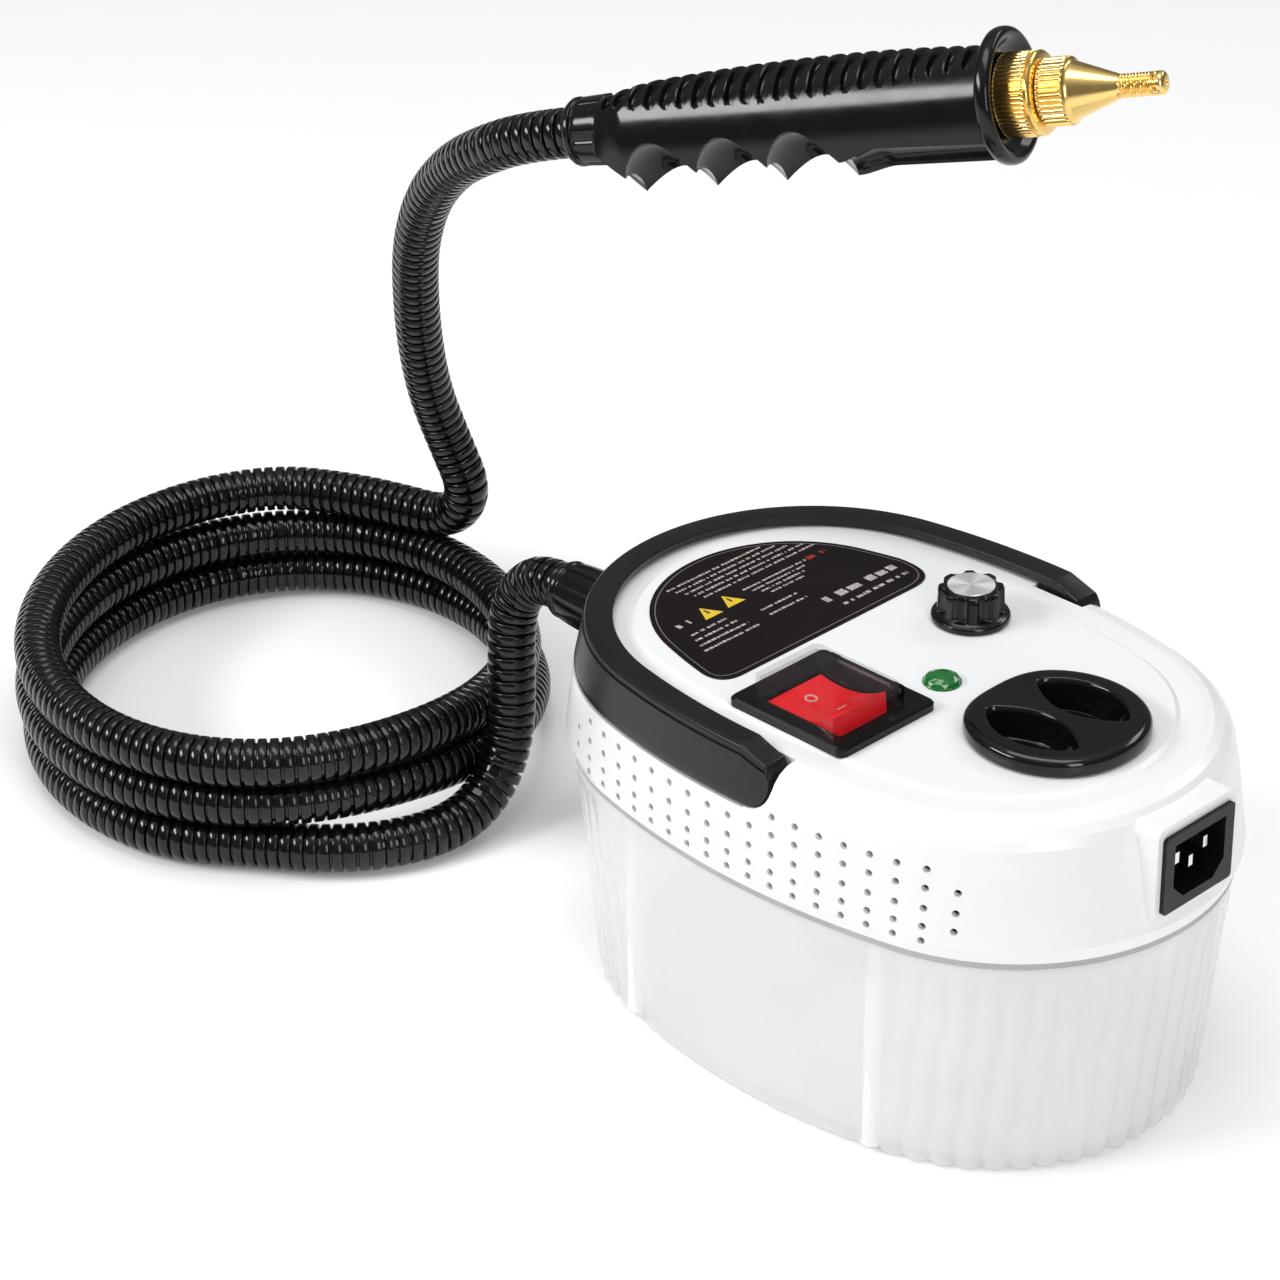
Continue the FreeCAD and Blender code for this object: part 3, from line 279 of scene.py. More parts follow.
# Seen CAD nodes with rounded edges, and the width of the rounding in mm.
ROUNDED_NODES = (("switch_cover", 0.7), ("switch_bezel", 0.5), ("inlet_socket", 0.5), ("power_rocker", 0.5))


def dress_cad_nodes():
    """Every CAD node gets the finish of its own material slot, and a few get rounded edges."""
    for entry in frame["record"]["subparts"]:
        node = frame["nodes"][entry["node"]]
        node.data.materials.clear()
        node.data.materials.append(MATERIALS[entry["material_slot"]])
    for name, width in ROUNDED_NODES:
        bevel(frame["nodes"][name], width)


# ---------------------------------------------------------------- hose
RIB_PITCH = 4.5
# One rib of the hose: share of the pitch and radius in mm.
RIB = ((0.00, 7.4), (0.15, 7.4), (0.21, 8.7), (0.30, 9.0), (0.88, 9.0), (0.96, 8.7))
HOSE_SIDES = 24

LEAD_ROUTE = [
    (-162, 0, 100), (-172.7, 0, 100), (-182, -1, 94.6), (-187, -3.5, 85.3), (-186, -6.5, 70),
    (-183.5, -9, 52.5), (-182, -12, 36), (-181.5, -19, 21), (-180.5, -33, 11.5), (-182, -51, 9.2),
    (-190, -71, 9.3), (-205, -88.5, 9.2), (-224, -101.5, 9.3),
]
RISER_ROUTE = [
    (-358, 61.5, 46.4), (-338, 71, 45), (-317.5, 79.5, 43), (-304.5, 80.5, 59), (-311, 75.5, 82),
    (-312, 67.5, 105), (-307, 59, 131), (-299, 51, 159), (-288, 43, 185), (-273, 37, 209), (-253, 31, 228),
    (-230, 23.5, 243), (-201, 22.2, 258), (-181.8, 29, 262.9),
]
COIL_CENTRE = Vector((-298, -26))
COIL_TURN = math.radians(45.7)
COIL_SHORT = 93.0
COIL_LONG = 108.0
COIL_FROM = -111.0
COIL_TO = -985.0
COIL_STEPS = 46
# Height of the hose's middle, and how far out it lies, against the angle round the coil in degrees.
COIL_HEIGHTS = ((-111, 9.2), (-330, 9.2), (-430, 27.6), (-690, 27.7), (-790, 46), (-985, 46.2))
COIL_REACHES = ((-111, 0.985), (-180, 1.0), (-270, 1.01), (-360, 1.02), (-440, 0.985), (-540, 1.015),
                (-630, 0.995), (-720, 0.985), (-800, 1.015), (-900, 1.0), (-985, 1.035))


def between_stops(stops, at):
    """Value at a point of a table of (place, value) stops that run downwards."""
    for (a, low), (b, high) in zip(stops, stops[1:]):
        if at >= b:
            return low + (high - low) * smooth((at - a) / (b - a))
    return stops[-1][1]


def coil_points():
    points = []
    for i in range(COIL_STEPS + 1):
        degrees = COIL_FROM + (COIL_TO - COIL_FROM) * i / COIL_STEPS
        turn = math.radians(degrees)
        reach = between_stops(COIL_REACHES, degrees) / 0.985
        flat = Vector((COIL_SHORT * math.cos(turn), COIL_LONG * math.sin(turn))) * reach
        flat.rotate(Matrix.Rotation(COIL_TURN, 2))
        points.append((*(COIL_CENTRE + flat), between_stops(COIL_HEIGHTS, degrees)))
    return points


def spline_line(route):
    """Points of the smooth NURBS line that has the route as its control points."""
    curve = bpy.data.curves.new("hose_route", "CURVE")
    curve.dimensions = "3D"
    curve.resolution_u = 16
    spline = curve.splines.new("NURBS")
    spline.points.add(len(route) - 1)
    for point, place in zip(spline.points, route):
        point.co = (*mm(*place), 1)
    spline.order_u = 3
    spline.use_endpoint_u = True
    spline.resolution_u = 16
    holder = bpy.data.objects.new("hose_route", curve)
    mesh = bpy.data.meshes.new_from_object(holder)
    line = [vertex.co.copy() for vertex in mesh.vertices]
    bpy.data.objects.remove(holder)
    bpy.data.curves.remove(curve)
    bpy.data.meshes.remove(mesh)
    return line


def walk(line, stops):
    """Points on the line at each distance in stops, with the line's direction there."""
    places = []
    index = 0
    done = 0.0
    span = (line[1] - line[0]).length
    for stop in stops:
        while stop > done + span and index < len(line) - 2:
            done += span
            index += 1
            span = (line[index + 1] - line[index]).length
        share = min(1.0, (stop - done) / span)
        direction = (line[index + 1] - line[index]).normalized()
        places.append((line[index].lerp(line[index + 1], share), direction))
    return places


def line_length(line):
    return sum((b - a).length for a, b in zip(line, line[1:]))


def make_hose():
    line = spline_line(LEAD_ROUTE + coil_points() + RISER_ROUTE)
    total = line_length(line)
    ribs = round(total / (RIB_PITCH * MM))
    pitch = total / ribs
    stops = [(rib + share) * pitch for rib in range(ribs) for share, _ in RIB]
    radii = [radius * MM for _ in range(ribs) for _, radius in RIB]
    rings = []
    side = Vector((0, 1, 0))
    for (place, direction), radius in zip(walk(line, stops), radii):
        side = (side - direction * side.dot(direction)).normalized()
        up = direction.cross(side)
        ring = []
        for j in range(HOSE_SIDES):
            turn = TURN * j / HOSE_SIDES
            ring.append(place + (side * math.cos(turn) + up * math.sin(turn)) * radius)
        rings.append(ring)
    hose = crease(skin_rings("hose", rings), 50)
    dress(hose, "body", "hose_black", MATERIALS["hose_black"], "hose_lead", "hose_coil", "hose_riser")
    print("hose length", round(total, 4))


# ---------------------------------------------------------------- gland and gun
GUN_AT = Vector(mm(*RISER_ROUTE[-1]))
GUN_DIRECTION = Vector((0.9162, 0.3247, 0.2347)).normalized()
GUN_ROLL = math.radians(36)


def gun_place():
    side = Vector((0, 0, 1)).cross(GUN_DIRECTION).normalized()
    up = GUN_DIRECTION.cross(side)
    up_rolled = up * math.cos(GUN_ROLL) + side * math.sin(GUN_ROLL)
    side_rolled = up_rolled.cross(GUN_DIRECTION)
    turn = Matrix((GUN_DIRECTION, side_rolled, up_rolled)).transposed()
    return Matrix.Translation(GUN_AT) @ turn.to_4x4()


GUN = gun_place()


PANELS = 6
PANEL_SHARE = 0.72        # share of its sixth of the turn that a panel takes


def panel_wave(first, last, height):
    """Raised flat panels between two stations of a collar."""
    def wave(x, turn):
        inside = smooth((x - first) / 0.8) * smooth((last - x) / 0.8)
        at = (turn / TURN * PANELS) % 1
        edge = smooth((PANEL_SHARE / 2 - abs(at - 0.5)) / 0.05 + 0.5)
        return height * inside * edge
    return wave


def make_gland():
    place = Matrix.Translation(Vector(mm(*LEAD_ROUTE[0])))
    profile = [(0, 9.1), (0, 9.8), (0.5, 10.6), (1.6, 11.0), (2.6, 10.8), (3.2, 10.3), (5, 10.3), (7, 10.5),
               (8, 10.6), (9, 10.7), (12, 10.9), (20, 11.3), (28, 11.5), (36.5, 11.6), (38, 11.6)]
    gland = lathe("hose_gland_nut", dense(profile), place, 144, panel_wave(4.0, 40.0, 0.9))
    dress(gland, "body", "grip_black", MATERIALS["grip_black"], "hose_gland")


def make_gun_collar():
    profile = dense([(0, 9.3), (0, 10.5), (0.5, 11.6), (1.6, 12.2), (2.8, 12.2), (3.4, 11.1), (5, 11.1),
                     (9, 11.3), (13.5, 11.5), (14.5, 11.5)])
    collar = lathe("gun_collar_nut", profile, GUN, 144, panel_wave(4.0, 24.0, 1.0))
    dress(collar, "body", "grip_black", MATERIALS["grip_black"], "gun_collar")


GRIP_FROM = 13.0
GRIP_TO = 162.0
GRIP_HALF = 16.4
GRIP_WAIST = 2.0          # height of the grip's widest line
GROOVES = 23
GROOVE_DEPTH = 2.1
SCALLOP_TIPS = (26, 54, 81, 108)
SCALLOP_RISE = 10.2       # how far a scallop's hollow rises above its tips
SCALLOP_SKEW = 0.72       # below 1, the hollow's highest point lies nearer its rear tip
TIP_Z = -21.0
GRIP_END = 10.6           # height of the grip's back above the axis at its rear end, and depth below it
GRIP_RISE = 6.2           # how much higher the back is at its front end
GRIP_ARCH = 18.0
GRIP_HUMP = 2.4
GRIP_TAPER = 31.0         # distance below the widest line at which the sides would meet
WAIST_TURN = 3.6          # degrees of the groove's run that one mm below the widest line counts for


def grip_top(x):
    """Height of the arched back of the grip."""
    share = (x - GRIP_FROM) / (GRIP_TO - GRIP_FROM)
    hump = GRIP_HUMP * smooth(share * 6) * (1 - share) ** 3
    return GRIP_END + GRIP_RISE * share + GRIP_ARCH * share * (1 - share) + hump


def grip_bottom(x):
    """Height of the finger scallops: a steep rise after each tip and a long fall to the next one."""
    if x <= SCALLOP_TIPS[0]:
        share = (x - GRIP_FROM) / (SCALLOP_TIPS[0] - GRIP_FROM)
        return -GRIP_END + (TIP_Z + GRIP_END) * share ** 0.85
    for left, right in zip(SCALLOP_TIPS, SCALLOP_TIPS[1:]):
        if x <= right:
            share = (x - left) / (right - left)
            return TIP_Z + SCALLOP_RISE * math.sin(math.pi * share ** SCALLOP_SKEW)
    share = (x - SCALLOP_TIPS[-1]) / (GRIP_TO - SCALLOP_TIPS[-1])
    return TIP_Z + 3.6 * smooth(share * 4) - 1.6 * share


def grip_half(x):
    """Half width at the grip's widest line: it narrows to the collar at the rear."""
    return GRIP_HALF - 3.6 * (1 - smooth((x - GRIP_FROM) / 14.0))


def grip_side(x, z):
    """Half width of the grip below its widest line."""
    return grip_half(x) * (1 - ((GRIP_WAIST - z) / GRIP_TAPER) ** 2.1)


def groove_depth(x, from_top):
    """Depth of the round-ended grooves across the back; from_top is in degrees from the top line."""
    count = (x - GRIP_FROM - 3.0) / (GRIP_TO - GRIP_FROM - 5.0) * GROOVES
    if count < 0 or count > GROOVES:
        return 0.0
    share = (x - GRIP_FROM) / (GRIP_TO - GRIP_FROM)
    end = 104.0 - 10.0 * share - 14.0 * (2 * share - 1) ** 2
    across = abs((count % 1) - 0.5) * 2
    pull = max(0.0, abs(from_top) - (end - 12.0)) / 12.0
    width = 0.64 * math.sqrt(max(0.0, 1 - pull * pull))
    return GROOVE_DEPTH * smooth((width - across) / 0.2 + 0.5) * (1.0 if pull < 1 else 0.0)


BACK_STEPS = 72
SIDE_STEPS = 32
BELLY_STEPS = 16
BELLY_RISE = 3.6


def grip_ring(x, shrink):
    """Section of the grip: over the back, down one side, across the underside and up the other side."""
    top = grip_top(x)
    bottom = grip_bottom(x)
    ring = []
    for i in range(BACK_STEPS + 1):
        angle = math.pi * i / BACK_STEPS
        depth = groove_depth(x, 90 - 180 * i / BACK_STEPS) + shrink
        reach_y = grip_half(x) - depth
        reach_z = top - GRIP_WAIST - depth
        ring.append((reach_y * math.cos(angle), GRIP_WAIST + reach_z * math.sin(angle)))
    for i in range(1, SIDE_STEPS + 1):
        z = GRIP_WAIST + (bottom - GRIP_WAIST) * i / SIDE_STEPS
        depth = groove_depth(x, 90 + WAIST_TURN * (GRIP_WAIST - z)) + shrink
        ring.append((depth - grip_side(x, z), z))
    half = grip_side(x, bottom) - shrink
    for i in range(1, BELLY_STEPS):
        share = i / BELLY_STEPS
        ring.append((-half + 2 * half * share, bottom + BELLY_RISE * math.sin(math.pi * share) ** 0.7))
    for i in range(SIDE_STEPS, 0, -1):
        z = GRIP_WAIST + (bottom - GRIP_WAIST) * i / SIDE_STEPS
        depth = groove_depth(x, 90 + WAIST_TURN * (GRIP_WAIST - z)) + shrink
        ring.append((grip_side(x, z) - depth, z))
    return [GUN @ Vector(mm(x, y, z)) for y, z in ring]


def make_grip():
    steps = 460
    end_round = 1.2
    rings = [grip_ring(GRIP_FROM, end_round)]
    for i in range(steps + 1):
        x = GRIP_FROM + 0.35 + (GRIP_TO - GRIP_FROM - 0.35) * i / steps
        rings.append(grip_ring(x, end_round * (1 - smooth((x - GRIP_FROM) / 1.6))))
    grip = crease(skin_rings("gun_grip", rings), 38)
    dress(grip, "body", "grip_black", MATERIALS["grip_black"], "grip_shell_near", "grip_shell_far")


def make_flange():
    x = GRIP_TO
    profile = [(x, 4.5), (x, 20.2), (x + 0.2, 21.6), (x + 0.9, 22.5), (x + 2.0, 22.9), (x + 3.7, 22.9),
               (x + 4.9, 22.5), (x + 5.6, 21.6), (x + 5.7, 20.5), (x + 5.1, 19.0), (x + 3.2, 17.6),
               (x + 2.2, 15.6), (x + 2.0, 4.5)]
    flange = lathe("gun_guard", profile, GUN, 128)
    dress(flange, "body", "grip_black", MATERIALS["grip_black"], "gun_flange")


def knurl(count, first, last, height):
    """Straight knurling between two stations: sharp ridges along the axis."""
    def wave(x, turn):
        inside = smooth((x - first) / 0.5) * smooth((last - x) / 0.5)
        return -height * inside * abs(math.sin(turn * count / 2)) ** 0.7
    return wave


RING_AT = 168.3
RING_RIDGES = 56


def make_coupling_ring():
    x = RING_AT
    profile = [(x - 3.9, 4.8), (x - 3.9, 12.6), (x - 3.4, 13.6)]
    profile += [(x - 3.0 + 0.52 * i, 14.2) for i in range(20)]
    profile += [(x + 7.6, 13.7), (x + 8.0, 13.0), (x + 8.4, 13.0), (x + 8.7, 13.7), (x + 9.2, 14.1),
                (x + 9.7, 13.7), (x + 10.0, 12.8), (x + 10.0, 4.8)]
    ring = lathe("knurled_ring", profile, GUN, RING_RIDGES * 8, knurl(RING_RIDGES, x - 3.3, x + 7.5, 0.75))
    crease(ring, 40)
    dress(ring, "nozzle_ring", "brass", MATERIALS["brass"], "coupling_ring")


def thread_wave(first, last, pitch, depth):
    """Helical thread between two stations."""
    def wave(x, turn):
        inside = smooth((x - first) / 0.8) * smooth((last - x) / 0.4)
        return -depth * inside * (0.5 + 0.5 * math.cos(TURN * x / pitch - turn))
    return wave


NOZZLE_AT = 178.6
NOZZLE_RIDGES = 40


def make_nozzle():
    start = NOZZLE_AT
    knurled = knurl(NOZZLE_RIDGES, start + 0.3, start + 9.6, 0.8)
    threaded = thread_wave(start + 26.6, start + 37.6, 1.1, 0.6)

    def wave(x, turn):
        slot = 1.0 * smooth((x - start - 38.2) / 0.3) * smooth((start + 39.6 - x) / 0.3)
        return knurled(x, turn) + threaded(x, turn) - slot * smooth(abs(math.sin(turn)) * 2 - 0.6)

    profile = [(start, 4.5), (start, 10.4), (start + 0.5, 11.2)]
    profile += [(start + 0.6 + 0.5 * i, 11.4) for i in range(18)]
    profile += [(start + 9.7, 11.0), (start + 10.0, 10.4)]
    profile += [(start + 10.4 + 1.0 * i, 9.8 - 5.7 * i / 15.6) for i in range(16)]
    profile += [(start + 26.2, 4.0)]
    profile += [(start + 26.5 + 0.15 * i, 4.0) for i in range(76)]
    profile += [(start + 38.0 + 0.2 * i, 4.0) for i in range(14)]
    profile += [(start + 40.9, 3.9), (start + 41.4, 3.6), (start + 41.8, 3.1), (start + 42.0, 2.4),
                (start + 42.0, 1.1), (start + 41.6, 0.9), (start + 38.0, 0.85)]
    nozzle = lathe("brass_nozzle", profile, GUN, NOZZLE_RIDGES * 8, wave)
    crease(nozzle, 40)
    dress(nozzle, "body", "brass", MATERIALS["brass"], "steam_nozzle")


# ---------------------------------------------------------------- ovals of the body
TANK_FOOT = (115.1, 78.9, 73.3)
TANK_RIM = (124.2, 81.8, 75.9)


def oval_line(size, count):
    """Points and outward normals evenly round a four-arc oval, from +X.

    The size is the oval's half length, half width and end radius.
    """
    a, b, end_r = size
    side_r = ((a - end_r) ** 2 + b ** 2 - end_r ** 2) / (2 * (b - end_r))
    shift = a - end_r
    joint = math.asin(shift / (side_r - end_r))
    end_half = (math.pi / 2 - joint) * end_r
    side_half = joint * side_r
    around = 4 * (end_half + side_half)
    line = []
    for i in range(count):
        s = around * i / count
        quarter, rest = divmod(s, around / 4)
        if quarter % 2:
            rest = around / 4 - rest
        if rest <= end_half:
            turn = rest / end_r
            x, y = shift + end_r * math.cos(turn), end_r * math.sin(turn)
            nx, ny = math.cos(turn), math.sin(turn)
        else:
            turn = (around / 4 - rest) / side_r
            x, y = side_r * math.sin(turn), b - side_r + side_r * math.cos(turn)
            nx, ny = math.sin(turn), math.cos(turn)
        sign_x = -1 if quarter in (1, 2) else 1
        sign_y = -1 if quarter in (2, 3) else 1
        line.append((x * sign_x, y * sign_y, nx * sign_x, ny * sign_y, s))
    return line, around


TANK_H = 84.2
TANK_WALL = 2.2
FLUTE_PITCH = 9.0
FLUTE_DEPTH = 0.85
TANK_POINTS = 900


def tank_size(z):
    return tuple(u + (v - u) * z / TANK_H for u, v in zip(TANK_FOOT, TANK_RIM))


def flute_depth(x, s, around, z):
    """Convex flutes round both ends, fading out towards the rim and deeper at the foot."""
    ends = smooth((abs(x) - 30.0) / 40.0)
    count = round(around / FLUTE_PITCH / 2) * 2
    lobe = 1 - abs(math.sin(math.pi * s / around * count)) ** 0.8
    fade = smooth((82.0 - z) / 12.0)
    foot = 1.0 + 1.6 * smooth((8.0 - z) / 7.0)
    return ends * lobe * fade * foot * FLUTE_DEPTH


def tank_ring(z, inset, fluted):
    line, around = oval_line(tank_size(z), TANK_POINTS)
    ring = []
    for x, y, nx, ny, s in line:
        depth = inset + (flute_depth(x, s, around, z) if fluted else 0.0)
        ring.append(mm(x - nx * depth, y - ny * depth, z))
    return ring


def make_tank():
    """Outside from the foot to the rim, then back down the inside to the floor."""
    rings = []
    for z, inset in ((0.0, 3.2), (0.0, 1.8), (0.5, 0.7), (1.4, 0.15), (2.4, 0.0)):
        rings.append(tank_ring(z, inset, True))
    for i in range(1, 27):
        rings.append(tank_ring(2.4 + (TANK_H - 2.8) * (i / 26) ** 1.2, 0.0, True))
    rings.append(tank_ring(TANK_H - 0.1, 0.3, True))
    rings.append(tank_ring(TANK_H, 0.5, False))
    rings.append(tank_ring(TANK_H, 1.9, False))
    rings.append(tank_ring(TANK_H - 0.4, TANK_WALL, False))
    rings.append(tank_ring(40.0, TANK_WALL, False))
    rings.append(tank_ring(5.0, 2.3, False))
    rings.append(tank_ring(3.2, 2.9, False))
    rings.append(tank_ring(2.5, 4.4, False))
    tank = skin_rings("clear_tank", rings)
    # The tank's finish carries a faint painted glow.
    dress(tank, "body", "tank_clear", MATERIALS["tank_clear"], "water_tank")


# ---------------------------------------------------------------- tank's pillars
def upright(x, y, z):
    """Placement that turns local X up and puts the local origin at a point in mm."""
    return Matrix.Translation(Vector(mm(x, y, z))) @ Matrix.Rotation(math.radians(-90), 4, "Y")


PILLAR_X = 55
PILLAR_Y = 70.5


def make_tank_pillars():
    """Screw pillars moulded along the tank's long sides, each with its pilot hole."""
    profile = dense([(2.6, 0.6), (2.6, 3.8), (5.0, 3.2), (62, 3.0), (66, 2.2), (83.4, 2.2), (84.0, 2.0),
                     (84.0, 1.6), (72, 1.5), (71.6, 0.6)], 3)
    places = [(x, y) for x in (-PILLAR_X, PILLAR_X) for y in (-PILLAR_Y, PILLAR_Y)]
    for number, (x, y) in enumerate(places):
        pillar = lathe("tank_pillar_%d" % number, profile, upright(x, y, 0), 48)
        # The pillars' finish glows with painted light.
        dress(pillar, "body", "tank_clear", MATERIALS["pillar_clear"])


# ---------------------------------------------------------------- carry handle
WAIST = (122.3, 83.6, 78.5)
RIDGE = (116.6, 81.8, 78.0)
WAIST_Z = 117.7
RIDGE_Z = 138.2
PIVOT_X = 9.0
PIVOT_Z = 128.5
HUB_R = 10.2
HANDLE_POINTS = 1440
HANDLE_WALL = 3.0
HANDLE_DEPTH = 10.0       # width of the flat top, inwards from the outside
HANDLE_SLOPE = 0.33       # fall of the top over each mm along X near the pivot


def handle_section(x):
    """Section of the handle at a place along X, as (height, inset) in mm, from the inside bottom outwards."""
    past = (x - PIVOT_X) / HUB_R
    low = WAIST_Z
    under = RIDGE_Z - HANDLE_WALL
    high = RIDGE_Z - HANDLE_SLOPE * max(0.0, x - PIVOT_X + 3.0)
    if past > -1:
        dip = math.sqrt(max(0.0, 1 - past * past))
        under = min(under, PIVOT_Z - (PIVOT_Z - WAIST_Z) * dip)
        if past > 0:
            low = PIVOT_Z - (PIVOT_Z - WAIST_Z) * dip
            high = min(high, PIVOT_Z + 0.2 + HUB_R * dip)
    scale = min(1.0, (high - low) / (RIDGE_Z - WAIST_Z))
    outside = [(0.0, 0.9), (0.15, 0.45), (0.45, 0.15), (0.9, 0.0)]
    section = [(low, HANDLE_WALL)] + [(low + z * scale, inset) for z, inset in outside]
    section += [(low + (high - low) * share, 0.0) for share in (0.2, 0.4, 0.6)]
    edge = [(3.6, 0.0), (3.3, 0.8), (2.4, 0.85), (2.1, 0.1), (1.2, 0.05), (0.55, 0.25), (0.15, 0.65),
            (0.0, 1.2), (0.0, 8.9), (0.12, 9.5), (0.5, 9.9), (1.0, HANDLE_DEPTH)]
    section += [(high - z * scale, inset) for z, inset in edge]
    under = min(under, high - 1.2 * scale)
    section += [(max(low, under), HANDLE_DEPTH), (max(low, under), HANDLE_WALL)]
    return section


def make_handle():
    """Flat-topped band bent round the machine's rear, from pivot to pivot."""
    line, _ = oval_line(WAIST, HANDLE_POINTS)
    reach = PIVOT_X + HUB_R
    order = [i for i in range(HANDLE_POINTS) if line[i][0] < reach - 0.05]
    ovals = {}

    def point(index, height, inset):
        """Point of the band; heights go to the nearest 0.1 mm, so that points share their ovals."""
        z = round(height * 10) / 10
        if z not in ovals:
            share = (z - WAIST_Z) / (RIDGE_Z - WAIST_Z)
            size = tuple(u + (v - u) * share for u, v in zip(WAIST, RIDGE))
            ovals[z] = oval_line(size, HANDLE_POINTS)[0]
        x, y, nx, ny, _ = ovals[z][index]
        return mm(x - nx * inset, y - ny * inset, z)

    rings = [[point(i, z, inset) for z, inset in handle_section(line[i][0])] for i in order]
    handle = crease(skin_rings("bent_carry_handle", rings), 32)
    dress(handle, "handle", "handle_black", MATERIALS["handle_black"], "carry_handle")


# ---------------------------------------------------------------- filler cap
CAP_AT = (68.5, 0.0)
CAP_TOP = 141.3
CAP_RIM_H = 6.2
CAP_SKIRT_R = 24.9
CAP_SKIRT_SHARE = 0.835   # the rim profile's share at the skirt's radius
CAP_FLAT_SHARE = 0.88     # share of the rim's reach that the flat face takes
CAP_SEGMENTS = 288
# Radius of the cap's egg-shaped rim against the direction from its middle, in degrees either side of +X.
CAP_REACH = ((180, 27.8), (135, 30.4), (94.7, 30.4), (50.3, 30.5), (0, 29.3))
BAR_HALF = 2.4
RECESS_R = 23.4
RECESS_DEPTH = 10.5
RECESS_LIP = 0.8          # the soft first drop at a recess's edge


def cap_reach(degrees):
    folded = abs((degrees + 180) % 360 - 180)
    return between_stops(CAP_REACH, folded)


def recess_drop(x, y):
    """How far the cap's face drops into its two lens-shaped finger recesses, at a point from its middle."""
    from_bar = (abs(y) - BAR_HALF - 0.024 * x * x) / math.sqrt(1 + (0.048 * x) ** 2)
    from_rim = RECESS_R - math.hypot(x, y)
    inside = min(from_bar, from_rim)
    if abs(from_bar - from_rim) < 3.0:
        inside -= (3.0 - abs(from_bar - from_rim)) ** 2 / 12.0
    return RECESS_LIP * smooth(inside / 0.9) + (RECESS_DEPTH - RECESS_LIP) * smooth((inside - 0.5) / 2.2)


def make_cap():
    steps = 66
    rings = []
    for i in range(1, steps + 1):
        ring = []
        for j in range(CAP_SEGMENTS):
            degrees = 360 * j / CAP_SEGMENTS
            turn = math.radians(degrees)
            radius = cap_reach(degrees) * CAP_FLAT_SHARE * i / steps
            x, y = radius * math.cos(turn), radius * math.sin(turn)
            ring.append(mm(CAP_AT[0] + x, CAP_AT[1] + y, CAP_TOP - recess_drop(x, y)))
        rings.append(ring)
    rim = [(0.91, 0.05), (0.935, 0.22), (0.96, 0.6), (0.98, 1.1), (0.992, 1.7), (1.0, 2.6), (1.0, 5.0),
           (0.992, 5.7), (0.975, 6.1), (0.95, 6.2), (0.84, 6.2), (0.835, 6.9), (0.83, 16.7), (0.81, 17.2),
           (0.76, 17.3)]
    for share, drop in rim:
        ring = []
        for j in range(CAP_SEGMENTS):
            degrees = 360 * j / CAP_SEGMENTS
            turn = math.radians(degrees)
            radius = cap_reach(degrees) * share
            if drop > CAP_RIM_H:
                radius = CAP_SKIRT_R * share / CAP_SKIRT_SHARE
            x, y = radius * math.cos(turn), radius * math.sin(turn)
            ring.append(mm(CAP_AT[0] + x, CAP_AT[1] + y, CAP_TOP - drop))
        rings.append(ring)
    cap = crease(skin_rings("moulded_filler_cap", rings), 60)
    dress(cap, "cap", "cap_black", MATERIALS["cap_black"], "filler_cap")


# ---------------------------------------------------------------- knob and lamp
KNOB_AT = (-1.1, 37.0, 135.1)
KNOB_H = 12.5
KNOB_BODY_R = 11.4
KNOB_FLUTES = 8
KNOB_FLUTE_R = 4.0
KNOB_FLUTE_AT = 13.6      # distance of a flute's own axis from the knob's axis


def make_knob():
    def wave(x, turn):
        inside = smooth((x - 2.9) / 0.7) * smooth((KNOB_H + 0.6 - x) / 0.5)
        away = (turn / TURN * KNOB_FLUTES) % 1 - 0.5
        across = KNOB_FLUTE_AT * math.sin(away * TURN / KNOB_FLUTES)
        if abs(across) >= KNOB_FLUTE_R:
            return 0.0
        half_chord = math.sqrt(KNOB_FLUTE_R ** 2 - across * across)
        hollow = KNOB_FLUTE_AT * math.cos(away * TURN / KNOB_FLUTES) - half_chord
        return -max(0.0, KNOB_BODY_R - hollow) * inside

    profile = dense([(0, 7.8), (0, 13.0), (0.25, 13.4), (0.8, 13.5), (1.8, 13.5), (2.3, 13.2), (2.7, 12.2),
                     (3.1, 11.6), (3.6, 11.5), (11.2, 11.2), (12.0, 10.9), (12.4, 10.4), (12.5, 9.9),
                     (12.5, 8.6), (12.2, 8.35), (12.0, 8.3), (12.0, 0.5)], 5)
    knob = crease(lathe("fluted_knob", profile, upright(*KNOB_AT), 256, wave), 40)
    dress(knob, "knob", "knob_black", MATERIALS["knob_black"], "steam_knob")


